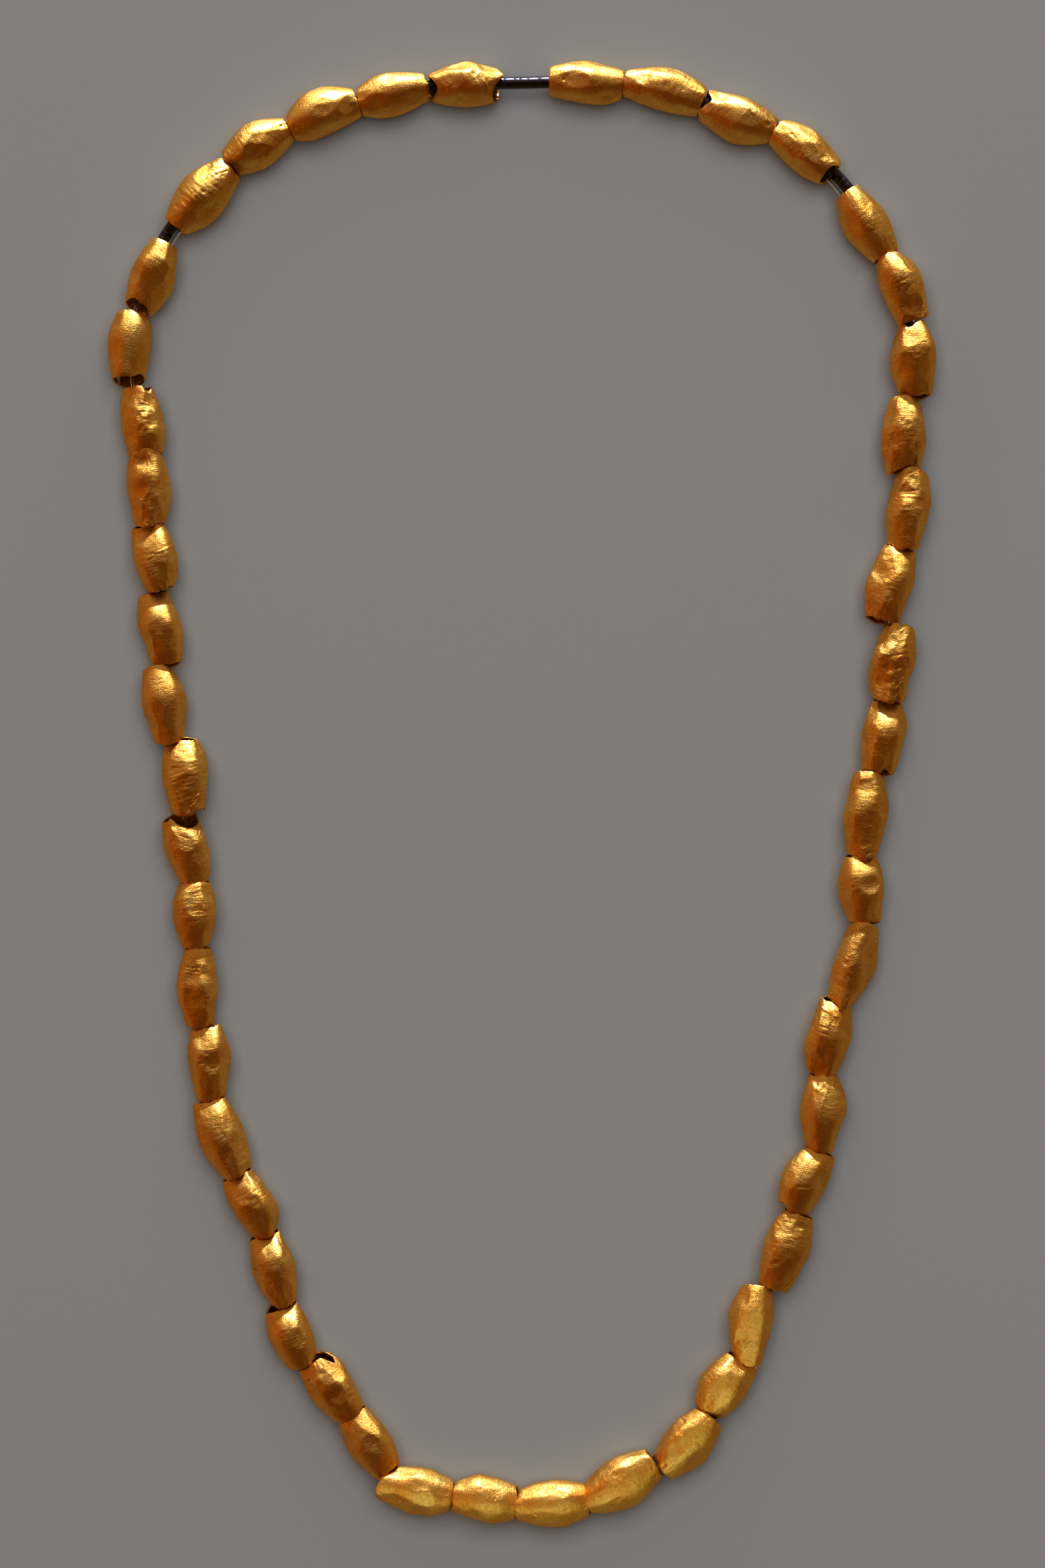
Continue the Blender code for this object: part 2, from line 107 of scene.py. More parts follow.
# The beads, clockwise from the bare stretch of rod at the top, one row each:
# near mouth x, y, far mouth x, y, near and far mouth width, the belly's reach to the loop's
# outside and its place along the bead, the same to the inside, and the lean of the joint
# with the next bead, which is above 0 where the next bead's upper lip stands over this one.
# The last three are the edges of the top face, as shares of the reach outside and inside,
# and the belly's place along it. All but places and shares are lengths, for a loop as above
BEADS = (
    (3.9, 106.9, 15.0, 106.4, 4.3, 4.3, 3.4, 0.48, 3.2, 0.69, 0.2, 0.35, 0.50, 0.55),
    (15.4, 106.7, 26.7, 103.9, 4.2, 4.9, 3.8, 0.55, 2.8, 0.65, 0.0, 0.50, 0.45, 0.48),
    (27.2, 103.4, 37.7, 99.4, 4.9, 3.5, 3.2, 0.50, 3.9, 0.55, 0.2, 0.50, 0.50, 0.52),
    (37.9, 99.5, 46.9, 92.7, 4.3, 4.3, 3.6, 0.45, 3.1, 0.54, 0.0, 0.50, 0.50, 0.45),
    (48.6, 90.4, 54.5, 80.8, 4.0, 4.4, 3.3, 0.48, 3.6, 0.53, 0.5, 0.20, 0.30, 0.49),
    (54.8, 80.4, 58.7, 71.0, 4.0, 5.0, 3.7, 0.41, 3.0, 0.44, -0.3, 0.65, 0.35, 0.33),
    (58.4, 70.7, 59.1, 59.7, 4.0, 4.7, 3.4, 0.48, 3.7, 0.62, 0.4, 0.75, 0.55, 0.42),
    (57.2, 59.4, 56.9, 47.8, 4.0, 4.7, 3.5, 0.53, 3.3, 0.60, 0.6, 0.70, 0.40, 0.41),
    (58.6, 48.8, 57.1, 37.0, 4.3, 4.6, 3.3, 0.45, 3.2, 0.62, -0.6, 0.55, 0.50, 0.46),
    (56.6, 36.9, 53.9, 25.7, 4.6, 5.0, 3.3, 0.42, 3.6, 0.59, 0.4, 0.60, 0.15, 0.45),
    (56.7, 25.4, 54.9, 14.1, 4.2, 5.0, 3.1, 0.38, 3.7, 0.60, -0.5, 0.50, 0.60, 0.42),
    (54.7, 13.9, 53.3, 3.1, 4.2, 4.8, 3.5, 0.38, 3.1, 0.50, 0.3, 0.50, 0.50, 0.43),
    (51.9, 3.3, 50.9, -9.2, 4.3, 4.4, 3.5, 0.42, 3.2, 0.61, -0.5, 0.50, 0.55, 0.42),
    (50.6, -9.1, 51.4, -19.3, 4.6, 4.6, 3.3, 0.45, 3.7, 0.41, 0.3, 0.60, 0.45, 0.39),
    (51.4, -19.5, 47.8, -31.1, 4.3, 4.4, 3.5, 0.46, 2.8, 0.58, -0.6, 0.25, 0.45, 0.49),
    (47.1, -30.9, 44.9, -41.8, 4.8, 4.4, 3.3, 0.38, 3.5, 0.61, -0.7, 0.35, 0.60, 0.50),
    (45.1, -42.0, 44.7, -53.3, 4.3, 4.2, 3.8, 0.48, 3.3, 0.52, -0.3, 0.50, 0.45, 0.48),
    (44.7, -53.8, 40.5, -62.3, 4.7, 5.0, 3.1, 0.48, 3.9, 0.50, -0.2, 0.35, 0.55, 0.58),
    (41.4, -63.0, 37.4, -74.3, 4.7, 4.7, 3.6, 0.40, 3.5, 0.43, 0.3, 0.50, 0.60, 0.42),
    (35.4, -73.4, 33.8, -85.1, 4.2, 4.3, 3.0, 0.50, 3.8, 0.48, -0.7, 0.50, 0.65, 0.46),
    (33.1, -85.0, 27.6, -92.7, 5.2, 4.2, 3.4, 0.45, 3.9, 0.55, 0.4, 0.55, 0.70, 0.52),
    (28.1, -93.6, 20.8, -101.3, 4.9, 4.3, 3.9, 0.50, 3.5, 0.45, 0.0, 0.30, 0.60, 0.44),
    (19.8, -100.2, 9.9, -105.9, 4.9, 4.6, 4.2, 0.50, 3.6, 0.50, -0.7, 0.45, 0.55, 0.53),
    (9.8, -105.9, -1.0, -106.8, 4.8, 4.3, 3.8, 0.40, 3.5, 0.43, -0.6, 0.30, 0.45, 0.41),
    (-0.7, -106.3, -10.5, -105.4, 5.0, 4.3, 3.4, 0.42, 3.7, 0.53, -0.1, 0.35, 0.45, 0.52),
    (-10.6, -105.3, -21.6, -103.2, 4.4, 4.7, 4.0, 0.42, 3.4, 0.43, -0.6, 0.40, 0.30, 0.36),
    (-20.1, -101.8, -25.6, -93.0, 4.1, 4.9, 3.4, 0.55, 3.3, 0.53, 0.7, 0.50, 0.60, 0.52),
    (-25.7, -92.9, -32.1, -84.6, 4.9, 4.4, 3.4, 0.45, 3.6, 0.60, 0.6, 0.40, 0.60, 0.46),
    (-32.6, -85.9, -36.3, -76.5, 4.2, 4.9, 3.6, 0.58, 2.9, 0.53, 0.8, 0.50, 0.55, 0.53),
    (-35.6, -76.6, -38.7, -66.4, 3.5, 5.0, 3.3, 0.55, 3.2, 0.58, 0.8, 0.50, 0.65, 0.62),
    (-38.5, -65.9, -42.9, -57.1, 3.8, 4.9, 3.1, 0.60, 3.5, 0.40, 0.7, 0.30, 0.60, 0.52),
    (-42.7, -56.9, -47.1, -46.2, 4.4, 5.2, 3.7, 0.50, 3.4, 0.53, 0.3, 0.50, 0.35, 0.60),
    (-46.8, -45.7, -47.4, -34.9, 4.3, 4.6, 3.1, 0.64, 3.3, 0.58, 0.3, 0.55, 0.50, 0.63),
    (-48.5, -35.0, -48.7, -23.1, 4.0, 4.0, 3.3, 0.47, 2.9, 0.51, 0.2, 0.55, 0.65, 0.53),
    (-49.1, -23.0, -49.1, -13.2, 3.9, 4.5, 3.5, 0.57, 3.2, 0.58, 0.8, 0.55, 0.60, 0.54),
    (-49.1, -13.2, -51.6, -3.0, 4.2, 5.2, 3.4, 0.55, 3.2, 0.50, 0.5, 0.50, 0.70, 0.57),
    (-50.1, -3.1, -51.2, 8.1, 4.9, 4.7, 3.4, 0.55, 3.6, 0.60, 0.6, 0.55, 0.60, 0.57),
    (-53.0, 7.8, -55.0, 19.3, 4.4, 4.0, 3.1, 0.55, 3.7, 0.50, -0.4, 0.45, 0.60, 0.56),
    (-53.3, 19.0, -55.4, 30.3, 4.5, 4.2, 3.2, 0.60, 3.3, 0.45, 0.3, 0.50, 0.65, 0.55),
    (-54.2, 30.4, -56.3, 40.3, 4.2, 5.0, 3.1, 0.55, 3.5, 0.48, 0.6, 0.55, 0.70, 0.47),
    (-55.8, 40.3, -56.5, 50.8, 4.7, 5.1, 3.2, 0.60, 3.4, 0.53, -1.2, 0.40, 0.55, 0.63),
    (-56.5, 50.5, -57.8, 60.5, 5.1, 4.8, 3.1, 0.50, 3.5, 0.40, 0.0, 0.30, 0.65, 0.40),
    (-59.2, 61.6, -58.6, 72.9, 4.7, 3.4, 3.4, 0.57, 3.3, 0.60, 0.0, 0.50, 0.50, 0.59),
    (-57.8, 72.1, -53.6, 82.9, 4.3, 3.6, 3.2, 0.50, 3.7, 0.46, 0.0, 0.55, 0.45, 0.64),
    (-52.3, 85.0, -44.0, 93.7, 3.7, 4.6, 3.9, 0.48, 3.8, 0.45, 0.3, 0.45, 0.35, 0.50),
    (-43.8, 94.7, -35.2, 99.7, 4.4, 3.1, 3.8, 0.42, 3.3, 0.45, 0.2, 0.45, 0.25, 0.45),
    (-34.7, 99.9, -24.6, 103.7, 4.1, 4.3, 4.3, 0.50, 3.0, 0.34, 0.2, 0.50, 0.35, 0.42),
    (-24.6, 103.7, -14.2, 106.1, 4.1, 4.0, 3.5, 0.48, 3.3, 0.44, 0.0, 0.40, 0.25, 0.45),
    (-14.3, 105.9, -3.5, 106.3, 3.7, 4.8, 3.7, 0.56, 3.1, 0.60, 0.0, 0.55, 0.35, 0.55),
)

# How far a torn mouth's upper lip is cut back, by bead number
NEAR_LIP_CUT = {3: 0.2, 43: 1.3, 44: 0.9, 49: 0.5}
FAR_LIP_CUT = {4: 1.3, 28: 0.4, 29: 0.4, 36: 0.5}

# How far the tops of a bead's two ends are lowered, near and far, or below 0 raised, by bead
# number, so that the lips throw and catch their shadows as in the photograph
END_DROPS = {5: (-0.3, 0), 6: (-0.3, 0), 7: (-0.5, 0), 9: (-0.35, -0.2), 10: (0.3, 0),
             11: (0, -0.35), 12: (0.9, 0), 13: (-0.2, -0.3), 14: (0.4, 0), 15: (-0.25, -0.35),
             16: (0.5, 0), 20: (0, -0.2), 21: (0.3, 0), 29: (0, 0.3), 30: (-0.15, 0.6),
             31: (-0.2, 0.8), 32: (-0.25, 0), 35: (0, -0.6), 36: (-0.35, 0), 37: (-0.5, 0.4),
             38: (-0.25, 0), 39: (0, 1.0), 40: (-0.35, 0.6), 41: (-0.35, -0.3), 42: (0, 0.2),
             43: (-0.3, 0), 44: (0, -0.35)}

# How much further the same ends go down on the loop's outer side, and up on its inner side
SIDE_DROPS = {9: (0, -0.9), 10: (0.6, 0), 13: (0, -0.9), 14: (0.7, 0), 15: (0, -0.8),
              16: (0.5, 0), 31: (0, 0.6), 32: (-0.8, 0), 40: (0, 0.7), 41: (-0.6, 0),
              42: (0, 0.7), 43: (-0.6, 0)}

# A section's top and bottom faces stand at this share of the half height, and the bottom
# one has this half width, as a share of the reach
LEVEL = 0.866
BOTTOM_EDGE = 0.5

UP = Vector((0, 0, 1))

# Torn lips, by bead number: the mouth, the pixel that the tear or lobe stands at, its half
# width, and how far the lip is cut back there, or below 0 how far it stands out, in pixels
LIP_TEARS = {
    2: (("far", 1059, 135, 12, -3),),
    3: (("near", 1067, 148, 8, 10), ("near", 1056, 166, 7, -5)),
    4: (("far", 1266, 250, 7, -9),),
    7: (("near", 1367, 490, 8, 9),),
    8: (("far", 1366, 695, 14, 5), ("far", 1333, 718, 10, -9)),
    9: (("near", 1370, 700, 16, -3), ("far", 1362, 822, 5, 4),),
    10: (("far", 1305, 938, 5, 3), ("far", 1322, 940, 3, 2), ("far", 1334, 936, 3, 3)),
    11: (("near", 1354, 936, 2.5, 5), ("far", 1347, 1050, 3, 12)),
    12: (("far", 1330, 1155, 5, 6),),
    13: (("far", 1297, 1290, 9, -6),),
    15: (("far", 1268, 1500, 10, -9),),
    16: (("far", 1238, 1615, 12, -4),),
    18: (("far", 1172, 1812, 6, 5), ("far", 1186, 1816, 5, -3)),
    28: (("far", 478, 2030, 3, 12), ("far", 487, 2040, 3, 8)),
    32: (("far", 290, 1655, 8, -5),),
    33: (("far", 330, 1535, 8, -5),),
    36: (("far", 285, 1243, 20, 17), ("far", 254, 1224, 6, -6)),
    37: (("near", 297, 1215, 8, 6),),
    40: (("near", 240, 885, 6, 4), ("near", 255, 888, 5, 3)),
    42: (("far", 222, 590, 6, 7),),
    43: (("near", 208, 578, 7, 6),),
    44: (("near", 200, 450, 11, 7), ("near", 224, 470, 7, -9)),
    48: (("far", 645, 130, 12, -3),),
    49: (("near", 655, 130, 11, 9), ("near", 637, 110, 6, -5), ("far", 757, 108, 9, -7),
         ("far", 738, 140, 12, 9)),
}

# Pits and small bumps, by bead number: the pixel at the middle, the radius and the depth, in
# pixels, with a depth below 0 for a bump
PITS = {
    1: ((846, 118, 2.5, 1.5),),
    2: ((1040, 130, 4, 1), (1048, 138, 4, -1)),
    3: ((1124, 163, 4, -1.2), (1131, 169, 4, -1.2), (1127, 172, 3, 1), (1152, 185, 6, 1.6)),
    4: ((1235, 235, 6, 1.8), (1188, 200, 3, 1)),
    5: ((1338, 350, 4, -1), (1343, 360, 4, -1)),
    6: ((1347, 424, 4, 2), (1355, 428, 4, 2), (1360, 435, 4, 1.6), (1350, 435, 3, 1.5),
        (1378, 430, 3, -1)),
    7: ((1355, 482, 2.5, 1.5),),
    8: ((1341, 650, 3, 1.8), (1352, 662, 3, 1.8), (1353, 630, 6, 1.2), (1362, 638, 5, 1.2)),
    9: ((1370, 717, 5, 1.5),),
    10: ((1314, 908, 7, 1.5), (1325, 918, 6, 1.5), (1317, 925, 5, 1.2)),
    11: ((1348, 1040, 6, 2.2), (1350, 1050, 4, 2)),
    12: ((1326, 1155, 5, 3), (1331, 1163, 4, 3)),
    13: ((1297, 1265, 6, 1.4),),
    14: ((1281, 1330, 3.5, 2),),
    15: ((1270, 1445, 6, 1.6), (1250, 1495, 2.5, 2), (1281, 1506, 2.5, 2)),
    16: ((1262, 1494, 3, 1.5),),
    17: ((1228, 1626, 8, 2.5), (1235, 1633, 6, 1.8)),
    18: ((1202, 1740, 4, 1),),
    19: ((1172, 1945, 3, 2), (1202, 1840, 7, 1), (1166, 1938, 2, 1.5)),
    20: ((1106, 2014, 4.5, 3), (1130, 2020, 5, 1.5)),
    21: ((1115, 2078, 5, 1.5),),
    22: ((997.5, 2199, 3.5, 3),),
    23: ((922, 2212, 5, 2), (922, 2212, 2, -1.5)),
    24: ((803, 2272, 3, 2), (882, 2270, 3, 1)),
    25: ((743, 2248, 2.5, 1.5),),
    26: ((563, 2243, 3, 2), (590, 2243, 3, 2), (600, 2252, 3, 2), (644, 2242, 6, 1.4)),
    28: ((462, 2072, 3.5, 2), (475, 2085, 3.5, 2), (525, 2095, 5, 1.3)),
    30: ((407, 1925, 4, 2), (381, 1907, 6, 2)),
    31: ((372, 1800, 4, 1),),
    32: ((365, 1740, 6, 1.5),),
    33: ((309, 1590, 4, 1.5), (312, 1597, 4, 1.3)),
    34: ((294, 1457, 3, 1.8), (311, 1497, 3, 1.8)),
    37: ((277, 1175, 4, 1),),
    41: ((221, 784, 3.5, 2.2), (237, 786, 3.5, 2.2), (228, 790, 4, -1.5)),
    42: ((205, 625, 5, 1.2), (220, 635, 5, 1.2), (210, 645, 4, 1.2), (228, 628, 4, -1)),
    45: ((292, 290, 4, 1.8), (305, 288, 4, 1.8), (298, 262, 4, 1)),
    46: ((421, 187, 3, 1.8), (397, 225, 6, 1.3)),
    47: ((442, 190, 2.5, 1.3), (452, 188, 2.5, 1.3), (512, 172, 2.5, 1.3)),
    49: ((714, 105, 7, 2), (718, 103, 3, -1.5)),
}

# Creases, by bead number: the pixels at both ends, the half width and the depth, in pixels,
# with a depth below 0 for a raised fold
CREASES = {
    2: ((985, 137, 998, 147, 2, -1), (900, 112, 912, 116, 1.5, 0.8)),
    4: ((1180, 195, 1190, 210, 1.5, -0.8), (1184, 193, 1194, 207, 1.5, 0.8)),
    7: ((1340, 530, 1378, 528, 2.5, -0.8),),
    9: ((1352, 737, 1380, 735, 2, 1), (1350, 744, 1382, 745, 2, -1)),
    11: ((1335, 985, 1362, 980, 2, 1), (1333, 1003, 1365, 1000, 2, 0.8),
         (1330, 1022, 1360, 1026, 2, 1)),
    13: ((1290, 1157, 1316, 1154, 2.5, -1),),
    15: ((1266, 1440, 1285, 1432, 2, 1),),
    16: ((1234, 1512, 1256, 1526, 2.5, -1.8), (1226, 1538, 1250, 1546, 1.5, 1),
         (1224, 1548, 1246, 1553, 1.5, 1)),
    17: ((1224, 1640, 1230, 1665, 2, 1.2), (1240, 1640, 1232, 1662, 2, -1)),
    18: ((1192, 1780, 1212, 1780, 2, 0.9),),
    21: ((1095, 2040, 1107, 2057, 2, -1.2),),
    22: ((1020, 2125, 1027, 2135, 2, 1),),
    23: ((970, 2172, 980, 2205, 3, 1.5),),
    25: ((717, 2231, 735, 2229, 2, -1),),
    29: ((430, 1985, 455, 2000, 1, 0.6), (428, 1992, 448, 2003, 1, 0.5)),
    33: ((322, 1633, 344, 1637, 2, 1), (320, 1640, 340, 1644, 2, -0.8)),
    34: ((270, 1450, 300, 1452, 2, 0.9), (272, 1458, 302, 1462, 2, -0.7)),
    36: ((263, 1275, 264, 1300, 1.5, 1.2), (297, 1235, 297, 1252, 1.5, 1.5)),
    40: ((220, 838, 258, 818, 2.5, -1),),
    41: ((222, 678, 222, 708, 3, -1.3),),
    42: ((211, 602, 228, 609, 2, -1.3), (220, 590, 235, 602, 2, 1.2)),
    43: ((187, 470, 190, 485, 1.2, 0.7),),
    44: ((232, 470, 214, 440, 2.5, -0.8),),
    45: ((324, 262, 340, 255, 2.5, 2),),
    46: ((352, 200, 362, 218, 2, 0.9),),
    49: ((716, 108, 735, 135, 2, -1.3), (712, 110, 722, 128, 2, 1.2), (690, 110, 700, 128, 2, 0.8)),
}

# Places where the sheet is crumpled, by bead number: the pixel at the middle, the radius in
# pixels, and how deep, as a share of CRUMPLE_DEPTH
CRUMPLES = {
    3: ((1130, 167, 13, 0.45),),
    4: ((1187, 202, 10, 0.4), (1235, 235, 10, 0.2)),
    6: ((1353, 430, 15, 1.0),),
    8: ((1355, 640, 16, 0.8), (1345, 700, 14, 0.6)),
    10: ((1315, 915, 19, 1.0), (1335, 880, 14, 0.6)),
    11: ((1347, 1005, 18, 1.1), (1345, 1035, 18, 1.3)),
    12: ((1325, 1125, 18, 0.8),),
    15: ((1270, 1440, 14, 1.0), (1262, 1470, 12, 0.7)),
    16: ((1238, 1535, 17, 1.2),),
    17: ((1230, 1628, 13, 0.8),),
    20: ((1118, 2018, 13, 0.8),),
    23: ((950, 2195, 12, 0.5),),
    24: ((882, 2268, 10, 0.6),),
    26: ((580, 2245, 16, 0.6), (640, 2240, 12, 0.6)),
    28: ((480, 2060, 20, 0.9),),
    29: ((442, 1995, 14, 0.6),),
    30: ((395, 1940, 14, 0.9),),
    33: ((312, 1590, 12, 0.8),),
    37: ((282, 1208, 17, 1.2),),
    40: ((248, 880, 14, 0.8),),
    41: ((228, 785, 14, 1.1), (222, 692, 10, 0.6)),
    42: ((215, 632, 20, 1.2),),
    45: ((325, 268, 22, 0.9),),
    47: ((447, 190, 8, 0.8),),
    49: ((716, 112, 14, 0.3), (665, 130, 14, 0.9)),
}

# How each bead is worn: how crisp its edges are from 0 to 1, how deep the hammer's lumps
# and how deep the fine wrinkles across it, as shares of the depths in LUMPS, SMALL_LUMPS
# and WRINKLES
WEAR = {
    1: (0.7, 0.7, 0.6), 2: (0.6, 1.0, 1.6), 3: (0.7, 0.7, 0.9), 4: (0.7, 0.6, 0.8),
    5: (0.6, 0.7, 0.7), 6: (0.6, 1.3, 1.0), 7: (1.0, 0.6, 0.8), 8: (0.5, 1.3, 1.0),
    9: (1.0, 0.8, 1.2), 10: (0.6, 1.3, 1.2), 11: (0.6, 1.5, 1.6), 12: (0.7, 1.2, 1.0),
    13: (1.0, 0.7, 1.8), 14: (0.5, 0.8, 0.6), 15: (0.8, 1.3, 1.0), 16: (0.8, 1.2, 1.3),
    17: (0.7, 0.9, 0.8), 18: (0.6, 0.8, 0.8), 19: (0.6, 1.0, 1.6), 20: (0.7, 1.0, 1.0),
    21: (0.7, 0.9, 1.0), 22: (0.6, 1.0, 0.8), 23: (0.6, 0.9, 0.8), 24: (0.6, 0.7, 0.6),
    25: (0.8, 0.7, 0.7), 26: (0.6, 0.9, 0.8), 27: (0.6, 0.7, 0.5), 28: (0.7, 1.1, 0.9),
    29: (0.7, 0.8, 0.8), 30: (0.7, 1.1, 1.0), 31: (0.6, 1.0, 1.5), 32: (0.7, 1.0, 1.0),
    33: (1.0, 1.0, 1.2), 34: (0.6, 0.9, 1.2), 35: (0.3, 0.6, 1.8), 36: (0.7, 0.9, 0.9),
    37: (0.6, 0.9, 2.2), 38: (1.0, 0.6, 0.8), 39: (1.0, 0.6, 0.8), 40: (0.7, 0.8, 0.9),
    41: (0.7, 1.1, 1.0), 42: (0.6, 1.3, 1.3), 43: (0.15, 0.4, 0.3), 44: (1.0, 0.6, 0.6),
    45: (0.6, 1.0, 2.2), 46: (0.6, 0.9, 1.2), 47: (0.25, 0.5, 0.5), 48: (0.3, 0.5, 0.5),
    49: (0.7, 1.1, 0.5),
}

# Grids of the bead meshes: points round and along the outer skin, rows along the inner one
# and round a lip's edge, points from which a section is rounded, and how much closer the
# points stand on the upper side
GRID_AROUND = 88
GRID_ALONG = 84
INNER_ROWS = 14
RIM_STEPS = 3
SECTION_SAMPLES = 720
UPPER_SIDE_DENSITY = 0.7

# Hammered sheet, in millimetres: soft lumps, small lumps and fine wrinkles across the bead,
# each with its depth and its size along and around the bead
LUMPS = (0.036, 1.1, 0.9)
SMALL_LUMPS = (0.015, 0.35, 0.35)
WRINKLES = (0.009, 0.11, 0.55)
# Flats that the hammer left: how many, how deep each cuts, how far up its middle faces at
# least, how far it tilts, how wide it reaches, and how sharp its edge is
FLAT_COUNTS = (7, 12)
FLAT_DEPTHS = (0.02, 0.08)
FLAT_LEAST_UP = 0.3
FLAT_TILT = 0.16
FLAT_REACH = 2.4
FLAT_EDGE = 0.05
SECTION_ROUNDING = (0.80, 1.40)     # of a crisp bead's edges and of a soft one's
BELLY_ROUNDING = (0.40, 1.00)       # and of the edge round its belly
EDGE_FADE = 0.7                     # how far the section's edges fade out in places
EDGE_FADE_SIZE = 1.6                # the size of such a place along the bead
EDGE_FADE_BLUR = 9                  # and round it, in points of the grid
BELLY_STRAY = 0.035                 # of the belly's edge, as a share of the length
BELLY_STRAY_BLUR = 6                # over so many points of the grid round the bead
BELLY_SOFTNESS = (0.22, 0.80)       # 0 for straight cones, 1 for a round barrel
BEYOND_MOUTH = -0.2                 # how far the cones are carried on past the mouths
MOUTH_ROUNDNESS = 0.60              # how far the flat sides fade out towards a mouth
MOUTH_FADE_POWER = 1.5              # how late they do
RIM_SWELL = 0.4                     # how far a lip's edge is rounded, as a share of half the wall
LIP_ROLL = 0.06                     # how far the sheet turns in at a lip
LIP_ROLL_WIDTH = 0.28
LIP_SQUARENESS = 0.6                # 0 for lips along the joint's plane, 1 for square ones
LIP_CURVES = (0.05, 0.25)           # how far a lip is cut back at its sides
END_DROP_WIDTH = 2.6                # how far in from its lip an end is lowered or raised
TUCK_WIDTH = 1.5                    # and how far one that is tucked under another lip
TUCK_LEAST_LEAN = 0.25              # least lean of a joint whose covered lip is tucked under
TUCK_ROOM = 0.08                    # room between a covered lip and the one over it
LIP_RAG = 0.05                      # how ragged a lip is
LIP_RAG_BLUR = 2.2                  # over so many points of the grid
BEAD_SEED = 7000

# How deep and wide the marks of the tables are made, as shares of what they say
PIT_DEPTH_SHARE = 0.55
PIT_NARROWING = 1.3
CREASE_SHARE = 0.6
MARK_STRAY = 0.35      # how uneven their outlines are
MARK_STRAY_BLUR = 2
PIT_RIM = 0.35         # how far the sheet round a pit stands up, as a share of its depth
PIT_RIM_PLACE = 1.4    # how far out, and how wide, as shares of the pit's radius
PIT_RIM_WIDTH = 0.5
MARK_EDGE = 4          # how sharply the marks end where the sheet turns down
CRUMPLE_DEPTH = 0.030  # of the crumpled places, in millimetres, and the size of their folds
CRUMPLE_SIZE = 0.22

# Painted shade: how fast it grows with a mark's or a hollow's depth, and the most that either holds,
# on the lips and how far in, on their edges, and inside the beads, where the shade falls
SHADE_GROWTH = 3
MARK_SHADE = 0.8
HOLLOW_SHADE = 0.35
LIP_SHADE = 0.15
LIP_SHADE_WIDTH = 0.25
RIM_SHADE = 0.10
INNER_SHADE = 0.55
# What is added to a bead's places for each bead before it, so that no two have one pattern
PATTERN_STEP = 17.3

# Finishes: the roughness of the smoothest and of the dullest places, how much the painted shade dulls
# the gold, its scratches and grain, with their height in metres, and the tint of the rod's gloss
GOLD_ROUGHNESS = (0.35, 0.50)
ROD_ROUGHNESS = (0.26, 0.40)
THREAD_ROUGHNESS = (0.04, 0.14)
SHADE_DULLING = 0.25
SCRATCH_STRETCH = (1.0, 1.0, 7.0)   # the pattern of the scratches is drawn in along the bead
SCRATCH_STRENGTH = 0.6
SCRATCH_HEIGHT = 0.00012
ROD_GLOSS_TINT = (1.0, 0.85, 0.42)
# Sockets of the node that mixes two colours, which share their names with others
MIX_SHARE, MIX_FIRST, MIX_SECOND, MIX_RESULT = 0, 6, 7, 2

# Rod and thread meshes, in millimetres, and the rings that show at the top gap, by the
# pixel's place along the gap and the row of pixels down the rod's middle
ROD_SIDES = 28
ROD_STEP = 0.8
THREAD_SIDES = 12
THREAD_STEP = 1.2
TOP_GAP_RINGS = (757.3, 772.3, 780.4, 792.7, 809.0)
TOP_GAP_LINE = 123
RING_SEED = 31
RING_STRAY = 0.35      # how uneven the other rings' distances are
RING_PROFILE = (-1, -0.5, -0.2, 0, 0.2, 0.5, 1)     # points across a ring, in its widths

# Stage, in metres: the floor, the strong low light, the soft one on the lowest beads, the
# wide one on the floor, and the room's colour and glows, each with the side that it comes
# from, how narrow it is, and its colour
FLOOR_GAP = 0.0002
FLOOR_SQUARES = 8
KEY_PLACE = (0.02, 0.95, 0.14)
KEY_SIZE = 0.02
KEY_COLOUR = (0.70, 0.88, 1.9)
FILLED_BEADS = {f"gold_bead_{number:02d}" for number in range(20, 27)}
FILL_PLACE = (0.0, -0.34, 0.36)
FILL_SIZE = 0.45
FILL_COLOUR = (0.72, 0.92, 0.85)
FILL_TARGET = (0.0, -0.11, 0.0)
FLOOR_LIGHT_PLACE = (0.0, 0.3, 1.2)
FLOOR_LIGHT_SIZE = 1.2
FLOOR_LIGHT_COLOUR = (1.0, 1.0, 1.0)
ROOM_COLOUR = (0.018, 0.002, 0.0)
ROOM_GLOWS = (
    ((-1, 0, 0.20), 3.0, (0.60, 0.23, 0.015)),
    ((1, 0, 0.30), 2.0, (0.23, 0.13, 0.05)),
    ((0, 1, 0.20), 3.0, (0.74, 0.76, 0.70)),
    ((0, -1, 0.10), 6.0, (0.17, 0.13, 0.07)),
)
SENSOR_WIDTH = 36
CAMERA_ASIDE = 0.0015  # how far the camera stands from the middle, towards the loop's top
BEAD_MIDDLE_HEIGHT = 0.0033
VIEW_GAMMA = 0.83      # below 1 for the deeper contrast of a camera's picture


def rod_reaches(number):
    """Say whether the rod is in the bead of this number."""
    return number >= FIRST_ROD_BEAD or number <= LAST_ROD_BEAD


def least_mouth(number):
    """Width that a mouth needs for what passes through it, with its walls."""
    bundle = THREAD_DIAMETER + 2 * CORD_CLEARANCE
    if rod_reaches(number):
        bundle += ROD_DIAMETER + CORD_CLEARANCE
    return (bundle + 2 * WALL) / (HEIGHT_SHARE * LEVEL)


def table_scale():
    """Share by which the table's lengths grow, for a loop of the named length."""
    heights = [row[1] for row in BEADS] + [row[3] for row in BEADS]
    return LOOP_LENGTH / (max(heights) - min(heights))


